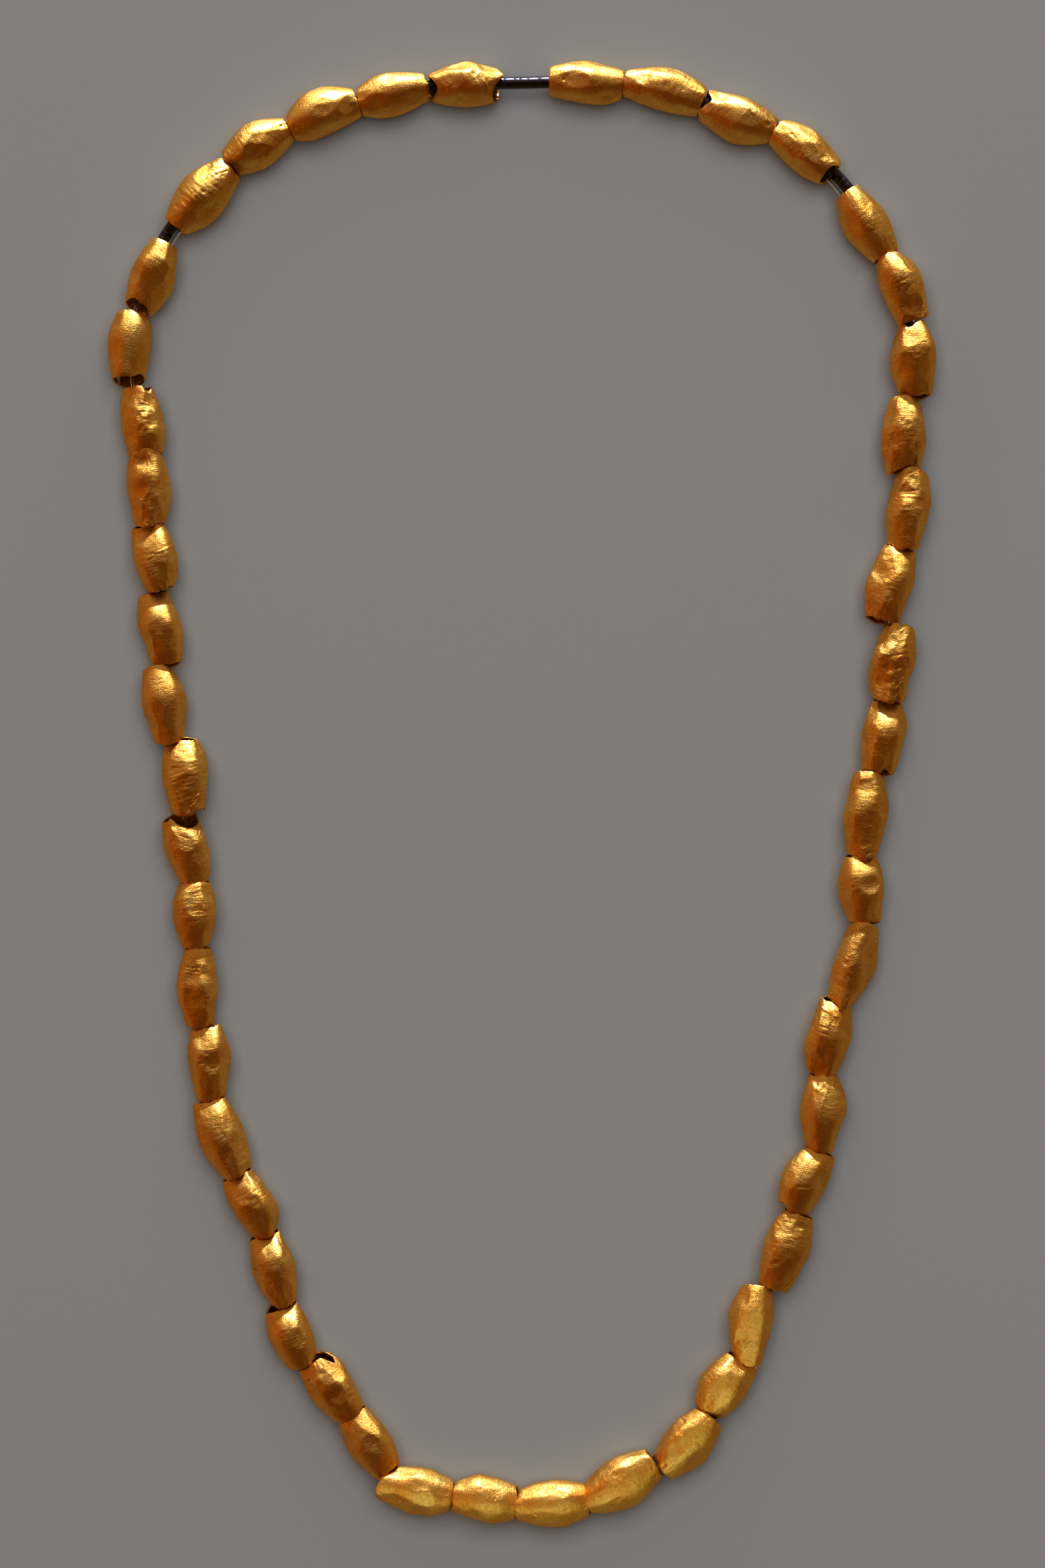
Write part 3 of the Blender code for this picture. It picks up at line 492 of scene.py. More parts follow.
def section_corners(number, outer_edge, inner_edge):
    """Corners of one bead's section, as shares of its half width and half height."""
    chance = random.Random(CORNER_SEED + number)
    outer_side, inner_side = (chance.uniform(-CORNER_SHIFT, CORNER_SHIFT) for _ in range(2))
    return ((1, outer_side), (outer_edge, LEVEL), (-inner_edge, LEVEL),
            (-1, inner_side), (-BOTTOM_EDGE, -LEVEL), (BOTTOM_EDGE, -LEVEL))


class Bead:
    """Sizes, axis and section of one bead, in millimetres."""

    def __init__(self, number, row, scale):
        (near_x, near_y, far_x, far_y, near_width, far_width, outer, self.outer_share,
         inner, self.inner_share, lean, outer_edge, inner_edge, self.top_share) = row
        self.number = number
        self.outer, self.inner, self.lean = scale * outer, scale * inner, scale * lean
        self.near_cut = scale * NEAR_LIP_CUT.get(number, 0)
        self.far_cut = scale * FAR_LIP_CUT.get(number, 0)
        self.half_height = HEIGHT_SHARE * (self.outer + self.inner + BELLY_HEIGHT) / 4
        self.axis_height = LEVEL * self.half_height
        self.near = Vector((scale * near_x, scale * near_y, self.axis_height))
        self.far = Vector((scale * far_x, scale * far_y, self.axis_height))
        self.length = (self.far - self.near).length
        self.along = (self.far - self.near) / self.length
        self.outward = Vector((-self.along.y, self.along.x, 0))
        self.near_half = max(scale * near_width, least_mouth(number)) / 2
        self.far_half = max(scale * far_width, least_mouth(number)) / 2
        self.corners = section_corners(number, outer_edge, inner_edge)

    def belly_share(self, across, height):
        """Where along the bead its belly is, on the side that each section point faces."""
        middle = (self.outer_share + self.inner_share) / 2
        side = middle + (self.outer_share - self.inner_share) / 2 * across
        return side + (self.top_share - side) * np.maximum(height, 0) / LEVEL

    def belly_weight(self, share, belly, softness):
        """0 at the mouths and 1 at the belly, in straight cones or, softer, in a round barrel."""
        half_band = BELLY_BAND / 2 / self.length
        before = share / (belly - half_band)
        after = (1 - share) / (1 - belly - half_band)
        part = np.clip(np.minimum(before, after), BEYOND_MOUTH, 1)
        return (1 - softness) * part + softness * np.sin(math.pi / 2 * part)

    def place(self, share, across, height, weight):
        """Points of the outer surface, for arrays of shares of the length and the section."""
        mouth = self.near_half + (self.far_half - self.near_half) * share
        reach = np.where(across > 0, self.outer, self.inner)
        half_width = mouth + (reach - mouth) * weight
        half_height = HEIGHT_SHARE * mouth
        half_height = half_height + (self.half_height - half_height) * weight
        near, along, outward = (np.array(v) for v in (self.near, self.along, self.outward))
        points = near + along * (share * self.length)[..., None]
        points = points + outward * (across * half_width)[..., None]
        return points + np.array(UP) * (height * half_height)[..., None]


class Joint:
    """Middle and dividing plane between a bead and the next one."""

    def __init__(self, bead, following):
        self.middle = (bead.far + following.near) / 2
        heading = (bead.along + following.along).normalized()
        half_height = HEIGHT_SHARE * (bead.far_half + following.near_half) / 2
        self.normal = (heading + UP * (bead.lean / half_height)).normalized()
        self.outward = Vector((-heading.y, heading.x, 0))
        room = (following.near - bead.far).dot(self.normal)
        self.half_gap = (room if room > OPEN_ROOM else LIP_GAP) / 2
        self.tilt = UP * (bead.lean / half_height)
        self.lean = bead.lean
        self.step = HEIGHT_SHARE * LEVEL * (following.near_half - bead.far_half)

    def covers(self, side):
        """Whether the other bead's lip stands over the mouth on this side, 1 near or -1 far."""
        return self.lean * side < 0

    def drop(self, side):
        """How far the top of a covered mouth goes down, to lie under the other bead's lip."""
        if not self.covers(side) or abs(self.lean) < TUCK_LEAST_LEAN:
            return 0.0
        return max(side * self.step, 0) + WALL + TUCK_ROOM


def from_photo(x, y):
    """Place on the beads' top faces of a pixel of the photograph, in millimetres."""
    return np.array((x - PHOTO_MIDDLE_X, PHOTO_MIDDLE_Y - y)) * (PIXEL * TOP_FACE_SHIFT)


def hump(away, width=1.0):
    """1 where a distance is 0, and softly down to 0 beyond the width."""
    return np.exp(-(away / width) ** 2)


def patch(away):
    """1 where a distance is below 1, and soon down to 0 beyond it."""
    return np.exp(-away ** 4)


def soft_field(chance, rows, columns, row_blur, column_blur):
    """Random field of soft lumps, mean 0 and spread 1, which meets itself all round."""
    waves = np.fft.fft2(chance.standard_normal((rows, columns)))
    down = np.fft.fftfreq(rows)[:, None] * row_blur
    across = np.fft.fftfreq(columns)[None, :] * column_blur
    waves *= np.exp(-2 * math.pi ** 2 * (down ** 2 + across ** 2))
    field = np.fft.ifft2(waves).real
    return (field - field.mean()) / field.std()


def soften_rows(grid, blur):
    """Blur a grid down its rows, with its ends carried on in a straight line."""
    if blur <= 0:
        return grid
    reach = int(math.ceil(3 * blur))
    steps = np.arange(1, reach + 1)[:, None]
    before = grid[0] - (grid[1] - grid[0]) * steps[::-1]
    after = grid[-1] + (grid[-1] - grid[-2]) * steps
    padded = np.vstack([before, grid, after])
    kernel = np.exp(-0.5 * (np.arange(-reach, reach + 1) / blur) ** 2)
    kernel /= kernel.sum()
    rows = len(grid)
    return sum(weight * padded[place:place + rows] for place, weight in enumerate(kernel))


def rounded_section(bead, rounding):
    """Across and height shares round a bead's section, with its corners rounded.

    The points stand closer on the upper side, which shows more.
    """
    reach = [bead.outer if across > 0 else bead.inner for across, _ in bead.corners]
    corners = np.array(bead.corners) * np.column_stack([reach, [bead.half_height] * len(reach)])
    closed = np.vstack([corners, corners[:1]])
    steps = np.hypot(*np.diff(closed, axis=0).T)
    stations = np.concatenate([[0], np.cumsum(steps)])
    girth = stations[-1]
    places = np.arange(SECTION_SAMPLES) / SECTION_SAMPLES * girth
    ring = np.column_stack([np.interp(places, stations, closed[:, axis]) for axis in (0, 1)])
    waves = np.fft.rfft(ring, axis=0)
    pitch = np.arange(len(waves)) / girth
    waves *= np.exp(-2 * (math.pi * rounding * pitch) ** 2)[:, None]
    ring = np.fft.irfft(waves, SECTION_SAMPLES, axis=0)
    across, height = ring.T
    across = np.where(across > 0, across / across.max(), across / -across.min())
    height = height / bead.half_height
    height = np.where(height > 0, height / height.max(), height / -height.min()) * LEVEL
    density = 1 + UPPER_SIDE_DENSITY * (height > 0)
    walk = np.concatenate([[0], np.cumsum(density)])
    wanted = np.arange(GRID_AROUND) / GRID_AROUND * walk[-1]
    index = np.interp(wanted, walk, np.arange(SECTION_SAMPLES + 1))
    wrapped = np.arange(SECTION_SAMPLES + 1)
    across = np.interp(index, wrapped, np.append(across, across[0]))
    height = np.interp(index, wrapped, np.append(height, height[0]))
    return across, height


def lip_shares(bead, joint, side, across, height, cut, tears, chance):
    """Share of the length at which a mouth's lip stands, at each section point.

    The side is 1 for a bead's near mouth and -1 for its far one. The lip follows the joint's
    plane, is cut back on top, and has its own notches, lobes and small ragged steps.
    """
    start = 0.0 if side > 0 else 1.0
    share = np.full(len(across), start)
    rim = bead.place(share, across, height, np.zeros(len(across)))
    own = (bead.along + joint.tilt).normalized()
    normal = joint.normal.lerp(own, LIP_SQUARENESS).normalized()
    closing = bead.along.dot(normal)
    normal = np.array(normal)
    plane_point = np.array(joint.middle) + normal * (side * joint.half_gap)
    met = rim.copy()
    if joint.covers(side):
        met[:, 2] = np.minimum(met[:, 2], joint.middle.z)
    travel = (plane_point - met) @ normal / closing
    upper = np.clip(height / LEVEL, -1, 1)
    back = cut * (1 + upper) / 2 + chance.uniform(*LIP_CURVES) * across ** 2
    outward = np.array(bead.outward)[:2]
    for _, x, y, half_width, depth in tears:
        place = (rim[:, :2] - from_photo(x, y)) @ outward
        back = back + depth * PIXEL * hump(place, half_width * PIXEL) * (height > 0)
    ragged = soft_field(chance, 1, len(across), 1, LIP_RAG_BLUR)[0]
    back = back + LIP_RAG * np.abs(ragged)
    return start + (travel + side * back) / bead.length


def grid_normals(points):
    """Unit normals of a grid of points that closes on itself along its columns."""
    down = np.gradient(points, axis=0)
    around = np.roll(points, -1, axis=1) - np.roll(points, 1, axis=1)
    normals = np.cross(around, down)
    return normals / np.linalg.norm(normals, axis=2, keepdims=True)


def hammer_flats(points, normals, depth_share, chance):
    """Cut a skin back to the many small flats that the hammer left on it."""
    upper = np.argwhere(normals[..., 2] > FLAT_LEAST_UP)
    for _ in range(chance.integers(*FLAT_COUNTS)):
        row, column = upper[chance.integers(len(upper))]
        centre = points[row, column].copy()
        facing = normals[row, column] + chance.normal(0, FLAT_TILT, 3)
        facing /= np.linalg.norm(facing)
        above = (points - centre) @ facing + chance.uniform(*FLAT_DEPTHS) * depth_share
        cut = (above + np.sqrt(above ** 2 + FLAT_EDGE ** 2) - FLAT_EDGE) / 2
        away = np.linalg.norm(points - centre, axis=2) / FLAT_REACH
        points = points - facing * (np.maximum(cut, 0) * patch(away))[..., None]
    return points


def mark_depths(bead, points, stray):
    """Depths of a bead's pits, dents and creases at its skin's points."""
    places = points[..., :2]
    depth = np.zeros(places.shape[:2])
    for x, y, radius, deep in PITS.get(bead.number, ()):
        away = np.linalg.norm(places - from_photo(x, y), axis=2) / (radius * PIXEL)
        away = away * (PIT_NARROWING + MARK_STRAY / 2 * stray)
        pit = hump(away) - PIT_RIM * hump(away - PIT_RIM_PLACE, PIT_RIM_WIDTH)
        depth += PIT_DEPTH_SHARE * deep * PIXEL * pit
    for x1, y1, x2, y2, half_width, deep in CREASES.get(bead.number, ()):
        start, end = from_photo(x1, y1), from_photo(x2, y2)
        line = end - start
        share = np.clip((places - start) @ line / (line @ line), 0, 1)
        away = np.linalg.norm(places - start - share[..., None] * line, axis=2)
        away = away / (half_width * PIXEL * CREASE_SHARE) + MARK_STRAY * stray
        depth += CREASE_SHARE * deep * PIXEL * hump(away)
    return depth


def bead_form(bead, near_joint, far_joint, crisp, chance):
    """Points of a bead's outer skin before the hammer, and how far each is from both lips."""
    def by_crispness(limits):
        """Value between the one of a crisp bead and the one of a soft bead."""
        return limits[0] + (limits[1] - limits[0]) * (1 - crisp)

    across, height = rounded_section(bead, by_crispness(SECTION_ROUNDING))
    angle = np.arctan2(height / LEVEL, across)
    round_across, round_height = np.cos(angle), LEVEL * np.sin(angle)
    tears = LIP_TEARS.get(bead.number, ())
    near = lip_shares(bead, near_joint, 1, round_across, round_height, bead.near_cut,
                      [tear for tear in tears if tear[0] == "near"], chance)
    far = lip_shares(bead, far_joint, -1, round_across, round_height, bead.far_cut,
                     [tear for tear in tears if tear[0] == "far"], chance)
    share = near + (far - near) * np.linspace(0, 1, GRID_ALONG)[:, None]
    row_length = bead.length / (GRID_ALONG - 1)
    belly = bead.belly_share(across, height)
    belly = belly + BELLY_STRAY * soft_field(chance, 1, GRID_AROUND, 1, BELLY_STRAY_BLUR)[0]
    weight = bead.belly_weight(share, belly, by_crispness(BELLY_SOFTNESS))
    weight = soften_rows(weight, by_crispness(BELLY_ROUNDING) / row_length)
    flat = 1 - MOUTH_ROUNDNESS * (1 - np.clip(weight, 0, 1)) ** MOUTH_FADE_POWER
    fade = soft_field(chance, GRID_ALONG, GRID_AROUND, EDGE_FADE_SIZE / row_length, EDGE_FADE_BLUR)
    flat = flat * (1 - EDGE_FADE * np.clip(0.5 + 0.5 * fade, 0, 1))
    section_across = round_across + (across - round_across) * flat
    section_height = round_height + (height - round_height) * flat
    points = bead.place(share, section_across, section_height, weight)
    from_near, from_far = (share - near) * bead.length, (far - share) * bead.length
    near_drop, far_drop = END_DROPS.get(bead.number, (0, 0))
    near_side, far_side = SIDE_DROPS.get(bead.number, (0, 0))
    near_drop = near_drop + near_side * section_across
    far_drop = far_drop + far_side * section_across
    drop = near_drop * hump(from_near, END_DROP_WIDTH)
    drop = drop + far_drop * hump(from_far, END_DROP_WIDTH)
    drop = drop + near_joint.drop(1) * hump(from_near, TUCK_WIDTH)
    drop = drop + far_joint.drop(-1) * hump(from_far, TUCK_WIDTH)
    points[..., 2] -= drop * np.clip(section_height, 0, 1)
    return points, np.minimum(from_near, from_far)


def sheet_relief(bead, points, normals, lumpy, wrinkled, chance):
    """Depths of the sheet's lumps, wrinkles and crumpled places at a skin's points."""
    row_length = bead.length / (GRID_ALONG - 1)
    girth_step = math.pi * (bead.outer + bead.inner) / GRID_AROUND
    depth = np.zeros(points.shape[:2])
    for (deep, along_size, around_size), strength in (
            (LUMPS, lumpy), (SMALL_LUMPS, lumpy), (WRINKLES, wrinkled)):
        field = soft_field(chance, GRID_ALONG, GRID_AROUND, along_size / row_length,
                           around_size / girth_step)
        depth += deep * strength * field
    folds = soft_field(chance, GRID_ALONG, GRID_AROUND, CRUMPLE_SIZE / row_length,
                       CRUMPLE_SIZE / girth_step)
    for x, y, radius, strength in CRUMPLES.get(bead.number, ()):
        away = np.linalg.norm(points[..., :2] - from_photo(x, y), axis=2) / (radius * PIXEL)
        depth += CRUMPLE_DEPTH * strength * folds * patch(away) * (normals[..., 2] > 0)
    return depth


def bead_skin(bead, near_joint, far_joint):
    """Points and normals of a bead's outer skin, and how much painted shade lies at each point."""
    chance = np.random.default_rng(BEAD_SEED + bead.number)
    crisp, lumpy, wrinkled = WEAR[bead.number]
    points, from_lip = bead_form(bead, near_joint, far_joint, crisp, chance)
    points = hammer_flats(points, grid_normals(points), lumpy, chance)
    normals = grid_normals(points)
    hollow = sheet_relief(bead, points, normals, lumpy, wrinkled, chance)
    depth = hollow + LIP_ROLL * hump(from_lip, LIP_ROLL_WIDTH)
    upper = np.clip(normals[..., 2] * MARK_EDGE, 0, 1)
    stray = soft_field(chance, GRID_ALONG, GRID_AROUND, MARK_STRAY_BLUR, MARK_STRAY_BLUR)
    marks = mark_depths(bead, points, stray) * upper
    depth += marks
    # Shade is painted into the pits, creases and hollows, and in a band along the lips
    painted_shade = np.clip(marks * SHADE_GROWTH, 0, MARK_SHADE) + np.clip(hollow * SHADE_GROWTH, 0, HOLLOW_SHADE)
    painted_shade += LIP_SHADE * hump(from_lip, LIP_SHADE_WIDTH)
    points = points - normals * depth[..., None]
    return points, grid_normals(points), np.clip(painted_shade, 0, 1)


def into_box(points, box):
    """Move a bead's points a little, into the solids' box and to its own solid's height.

    The box given is that of the bead's own solid.
    """
    low, high = (np.array(corner) / MM for corner in CAD_BOX)
    low[2], high[2] = (corner[2] / MM for corner in box)
    for axis in range(3):
        values = points[..., axis]
        least, most = values.min(), values.max()
        goal_least = low[axis] if axis == 2 else max(least, low[axis])
        goal_most = min(most, high[axis])
        if goal_least == least and goal_most == most:
            continue
        share = (goal_most - goal_least) / (most - least)
        points[..., axis] = goal_least + (values - least) * share
    return points


def make_mesh_object(name, points, faces, attributes=None):
    """Make a smooth mesh object from points in millimetres, with named values on its points."""
    data = bpy.data.meshes.new(name)
    data.from_pydata((points * MM).tolist(), [], faces)
    for key, (kind, field, values) in (attributes or {}).items():
        layer = data.attributes.new(key, kind, "POINT")
        layer.data.foreach_set(field, np.ascontiguousarray(values, dtype=np.float32).ravel())
    data.shade_smooth()
    thing = bpy.data.objects.new(name, data)
    bpy.context.scene.collection.objects.link(thing)
    return thing


def ring_faces(rows, columns, closed_rows=False):
    """Faces of a grid whose columns close on themselves, and whose rows do if asked."""
    faces = []
    for row in range(rows if closed_rows else rows - 1):
        after = (row + 1) % rows
        for column in range(columns):
            beside = (column + 1) % columns
            faces.append((row * columns + column, row * columns + beside,
                          after * columns + beside, after * columns + column))
    return faces


def make_bead(bead, near_joint, far_joint):
    """Make one bead: outer skin, rounded lips and inner skin, as one closed ring of rows."""
    outer, normals, painted_shade = bead_skin(bead, near_joint, far_joint)
    outer = into_box(outer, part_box(f"bead_{bead.number:02d}"))
    inner_places = np.linspace(0, GRID_ALONG - 1, INNER_ROWS).round().astype(int)[::-1]
    inner = outer[inner_places] - normals[inner_places] * WALL

    def rim(outer_row, inner_row, next_row):
        """Rows that round a lip's edge over from its outer skin to its inner one."""
        middle = (outer_row + inner_row) / 2
        half = (outer_row - inner_row) / 2
        out = outer_row - next_row
        out = out / np.linalg.norm(out, axis=1, keepdims=True) * (WALL / 2 * RIM_SWELL)
        angles = [math.pi * step / (RIM_STEPS + 1) for step in range(1, RIM_STEPS + 1)]
        return [middle + half * math.cos(angle) + out * math.sin(angle) for angle in angles]

    far_rim = rim(outer[-1], inner[0], outer[-2])
    near_rim = rim(outer[0], inner[-1], outer[1])[::-1]
    rows = np.concatenate([outer, far_rim, inner, near_rim])
    # Painted shade: faint on the lips' rims, and deeper over the whole inner skin
    rim_shade = np.full((RIM_STEPS, GRID_AROUND), RIM_SHADE)
    inner_shade = np.full((INNER_ROWS, GRID_AROUND), INNER_SHADE)
    painted_shade = np.concatenate([painted_shade, rim_shade, inner_shade, rim_shade])
    points = rows.reshape(-1, 3)
    points[:, 2] = np.maximum(points[:, 2], 0)
    away = points - np.array(bead.near)
    outward, along = np.array(bead.outward), np.array(bead.along)
    local = np.column_stack([away @ outward, away[:, 2], away @ along])
    local += bead.number * PATTERN_STEP
    return make_mesh_object(
        f"gold_bead_{bead.number:02d}", points, ring_faces(len(rows), GRID_AROUND, True),
        {"bead_place": ("FLOAT_VECTOR", "vector", local), "painted_shade": ("FLOAT", "value", painted_shade)})


def half_way(points, place):
    """Point half way between a route point and the next on a smooth curve through them all."""
    before, here, after, beyond = (points[(place + step) % len(points)] for step in (-1, 0, 1, 2))
    return ((here + after) * 9 - before - beyond) / 16


def centre_route(joints):
    """Route down the middle of the string: each joint, then half way through the next bead."""
    middles = [joint.middle for joint in joints]
    route = []
    for place, middle in enumerate(middles):
        route.append(middle)
        route.append(half_way(middles, place))
    return route


def middle_place(number):
    """Place along the route of the middle of the bead of this number."""
    return 2 * (number - 1) - 1


def rod_turns(count):
    """How far the rod stands over the thread at each route point, in quarter turns.

    0 has the rod beside the thread, on the outside of the loop, and 1 has it above.
    """
    first, last = middle_place(FIRST_ROD_BEAD), middle_place(LAST_ROD_BEAD) + count
    turns = {}
    for place in range(first, last + 1):
        from_end = min(place - first, last - place)
        turns[place % count] = min(max(from_end - 1, 0) / 2, 1)
    return turns


def cord_routes(joints):
    """Routes of the rod and of the thread, side by side where they share the beads."""
    centre = centre_route(joints)
    turns = rod_turns(len(centre))
    rod, thread = [], []
    for place, point in enumerate(centre):
        if place not in turns:
            thread.append(point)
            continue
        angle = turns[place] * math.pi / 2
        outward = joints[place // 2].outward
        aside = outward * math.cos(angle) + UP * math.sin(angle)
        rod.append((place, point + aside * ((THREAD_DIAMETER + CORD_CLEARANCE) / 2)))
        thread.append(point - aside * ((ROD_DIAMETER + CORD_CLEARANCE) / 2))
    rod.sort(key=lambda entry: (entry[0] - middle_place(FIRST_ROD_BEAD)) % len(centre))
    return [point for _, point in rod], thread


def curve_points(knots, step, closed):
    """Points every step along a smooth curve through the knots."""
    knots = np.array(knots)
    count = len(knots)
    points = []
    for place in range(count if closed else count - 1):
        near = [place - 1, place, place + 1, place + 2]
        if closed:
            near = [index % count for index in near]
        else:
            near = [min(max(index, 0), count - 1) for index in near]
        a, b, c, d = knots[near]
        pieces = max(int(round(np.linalg.norm(c - b) / step)), 1)
        for share in np.arange(pieces) / pieces:
            points.append(0.5 * (2 * b + (c - a) * share + (2 * a - 5 * b + 4 * c - d) * share ** 2
                                 + (3 * b - a - 3 * c + d) * share ** 3))
    if not closed:
        points.append(knots[-1])
    return np.array(points)


def make_tube(name, points, radii, sides, closed):
    """Make a round tube along points, with its own radius at each."""
    before, after = np.roll(points, 1, axis=0), np.roll(points, -1, axis=0)
    if not closed:
        before[0], after[-1] = points[0], points[-1]
    heading = after - before
    heading /= np.linalg.norm(heading, axis=1, keepdims=True)
    beside = np.cross(heading, np.array(UP))
    beside /= np.linalg.norm(beside, axis=1, keepdims=True)
    above = np.cross(beside, heading)
    angles = np.arange(sides) / sides * 2 * math.pi
    circle = beside[:, None] * np.cos(angles)[:, None] + above[:, None] * np.sin(angles)[:, None]
    rows = points[:, None] + circle * np.asarray(radii)[:, None, None]
    faces = ring_faces(len(points), sides, closed)
    flat = rows.reshape(-1, 3)
    if not closed:
        faces.append(tuple(range(sides))[::-1])
        faces.append(tuple(range(len(flat) - sides, len(flat))))
    return make_mesh_object(name, flat, faces)


def ringed_rod(knots, depth, width, spacing):
    """Points and radii along the rod, with fine rings cut round it."""
    chance = random.Random(RING_SEED)
    points = curve_points(knots, ROD_STEP, False)
    steps = np.linalg.norm(np.diff(points, axis=0), axis=1)
    stations = np.concatenate([[0], np.cumsum(steps)])
    length = stations[-1]
    shown = []
    for x in TOP_GAP_RINGS:
        away = from_photo(x, TOP_GAP_LINE) - points[:, :2]
        nearest = np.linalg.norm(away, axis=1).argmin()
        shown.append(stations[nearest] + away[nearest, 0])
    rings = list(shown)
    at = spacing
    while at < length - spacing:
        if min(abs(at - ring) for ring in shown) > spacing:
            rings.append(at)
        at += spacing * (1 + chance.uniform(-RING_STRAY, RING_STRAY))
    near_ring = [ring + width * share for ring in rings for share in RING_PROFILE]
    walk = np.unique(np.concatenate([stations, near_ring]))
    walk = walk[(walk >= 0) & (walk <= length)]
    fine = np.column_stack([np.interp(walk, stations, points[:, axis]) for axis in range(3)])
    radii = np.full(len(walk), ROD_DIAMETER / 2)
    for ring in rings:
        radii -= depth * hump(walk - ring, width / 2)
    return fine, radii


def string_of_beads():
    """All the beads, and the joint after each."""
    scale = table_scale()
    beads = [Bead(number, row, scale) for number, row in enumerate(BEADS, 1)]
    joints = [Joint(bead, after) for bead, after in zip(beads, beads[1:] + beads[:1])]
    return beads, joints


def new_material(name):
    """Make a node material, and return it with its node tree and its Principled shader."""
    material = bpy.data.materials.new(name)
    material.use_nodes = True
    tree = material.node_tree
    return material, tree, tree.nodes["Principled BSDF"]


def add_node(tree, kind, inputs, **settings):
    """Add a node with its settings. Each of its inputs gets a plain value or another's socket."""
    node = tree.nodes.new(kind)
    for key, value in settings.items():
        setattr(node, key, value)
    for key, value in inputs.items():
        if isinstance(value, bpy.types.NodeSocket):
            tree.links.new(value, node.inputs[key])
        else:
            node.inputs[key].default_value = value
    return node


def object_place(tree):
    """Socket with each point's place on its object, in metres."""
    return add_node(tree, "ShaderNodeTexCoord", {}).outputs["Object"]


def noise(tree, place, scale, detail, roughness=0.5):
    """Socket with a cloudy pattern over the places of a socket."""
    inputs = {"Vector": place, "Scale": scale, "Detail": detail, "Roughness": roughness}
    return add_node(tree, "ShaderNodeTexNoise", inputs).outputs["Fac"]


def spread(tree, value, low, high, least=0.0, most=1.0):
    """Socket with a value stretched from low and high to least and most, and held there."""
    inputs = {"Value": value, "From Min": low, "From Max": high, "To Min": least, "To Max": most}
    return add_node(tree, "ShaderNodeMapRange", inputs).outputs["Result"]


def math_of(tree, operation, *parts):
    """Socket with what an operation makes of plain numbers and sockets."""
    inputs = dict(enumerate(parts))
    return add_node(tree, "ShaderNodeMath", inputs, operation=operation).outputs["Value"]


def colour_mix(tree, share, first, second):
    """Socket with a mix of two colours, each a plain colour or a socket, by a socket's share."""
    first, second = (colour if isinstance(colour, bpy.types.NodeSocket) else (*colour, 1)
                     for colour in (first, second))
    inputs = {MIX_SHARE: share, MIX_FIRST: first, MIX_SECOND: second}
    return add_node(tree, "ShaderNodeMix", inputs, data_type="RGBA").outputs[MIX_RESULT]


def add_bump(tree, shader, height, strength, distance):
    """Roughen a shader's surface by a pattern's height, at most a distance in metres."""
    inputs = {"Height": height, "Strength": strength, "Distance": distance}
    bump = add_node(tree, "ShaderNodeBump", inputs)
    tree.links.new(bump.outputs["Normal"], shader.inputs["Normal"])


def gold_material(finish):
    """Hammered sheet gold: satin, finely scratched across, with brown shade painted into its hollows,
    lips and insides, where it is also duller.
    """
    material, tree, shader = new_material("hammered_gold")
    place = add_node(tree, "ShaderNodeAttribute", {}, attribute_name="bead_place").outputs["Vector"]
    painted_shade = add_node(tree, "ShaderNodeAttribute", {}, attribute_name="painted_shade").outputs["Fac"]
    stretched = add_node(tree, "ShaderNodeMapping", {"Vector": place, "Scale": SCRATCH_STRETCH})
    cloud = noise(tree, place, scale=0.35, detail=3.0)
    speckle = noise(tree, place, scale=3.2, detail=5.0, roughness=0.65)
    scratches = noise(tree, stretched.outputs["Vector"], scale=1.1, detail=5.0, roughness=0.7)
    grain = noise(tree, place, scale=5.0, detail=3.0, roughness=0.6)
    tone = spread(tree, cloud, low=0.35, high=0.65)
    colour = colour_mix(tree, tone, finish.gold_colour, finish.pale_gold_colour)
    spots = spread(tree, speckle, low=0.50, high=0.70, most=0.75)
    colour = colour_mix(tree, spots, colour, finish.deep_gold_colour)
    # Brown shade is painted into the gold, and the gold is dulled, where the painted shade mask is
    # high
    shade_share = spread(tree, math_of(tree, "MULTIPLY", painted_shade, speckle), low=0.12, high=0.6)
    colour = colour_mix(tree, shade_share, colour, finish.painted_shade_colour)
    tree.links.new(colour, shader.inputs["Base Color"])
    gloss = spread(tree, speckle, 0.3, 0.7, *GOLD_ROUGHNESS)
    dull = math_of(tree, "MULTIPLY_ADD", shade_share, SHADE_DULLING, gloss)
    tree.links.new(dull, shader.inputs["Roughness"])
    height = math_of(tree, "ADD", scratches, grain)
    add_bump(tree, shader, height, SCRATCH_STRENGTH, SCRATCH_HEIGHT)
    shader.inputs["Metallic"].default_value = 1.0
    shader.inputs["Coat Weight"].default_value = 0.35
    shader.inputs["Coat IOR"].default_value = 1.8
    shader.inputs["Coat Roughness"].default_value = 0.34
    shader.inputs["Specular Tint"].default_value = (*finish.edge_gold_colour, 1)
    return material


def rod_material(finish):
    """Rod with a glossy near-black coat, a little uneven."""
    material, tree, shader = new_material("black_rod")
    cloud = noise(tree, object_place(tree), scale=900.0, detail=4.0)
    colour = colour_mix(tree, cloud, finish.rod_colour, finish.rod_sheen_colour)
    tree.links.new(colour, shader.inputs["Base Color"])
    gloss = spread(tree, cloud, 0.0, 1.0, *ROD_ROUGHNESS)
    tree.links.new(gloss, shader.inputs["Roughness"])
    shader.inputs["Specular IOR Level"].default_value = 0.8
    shader.inputs["Specular Tint"].default_value = (*ROD_GLOSS_TINT, 1)
    return material


def thread_material(finish):
    """Clear drawn thread, see-through, with faint cloudiness."""
    material, tree, shader = new_material("clear_line")
    cloud = noise(tree, object_place(tree), scale=1500.0, detail=2.0)
    gloss = spread(tree, cloud, 0.0, 1.0, *THREAD_ROUGHNESS)
    tree.links.new(gloss, shader.inputs["Roughness"])
    shader.inputs["Base Color"].default_value = (*finish.thread_colour, 1)
    shader.inputs["Transmission Weight"].default_value = 1.0
    shader.inputs["IOR"].default_value = 1.53
    return material


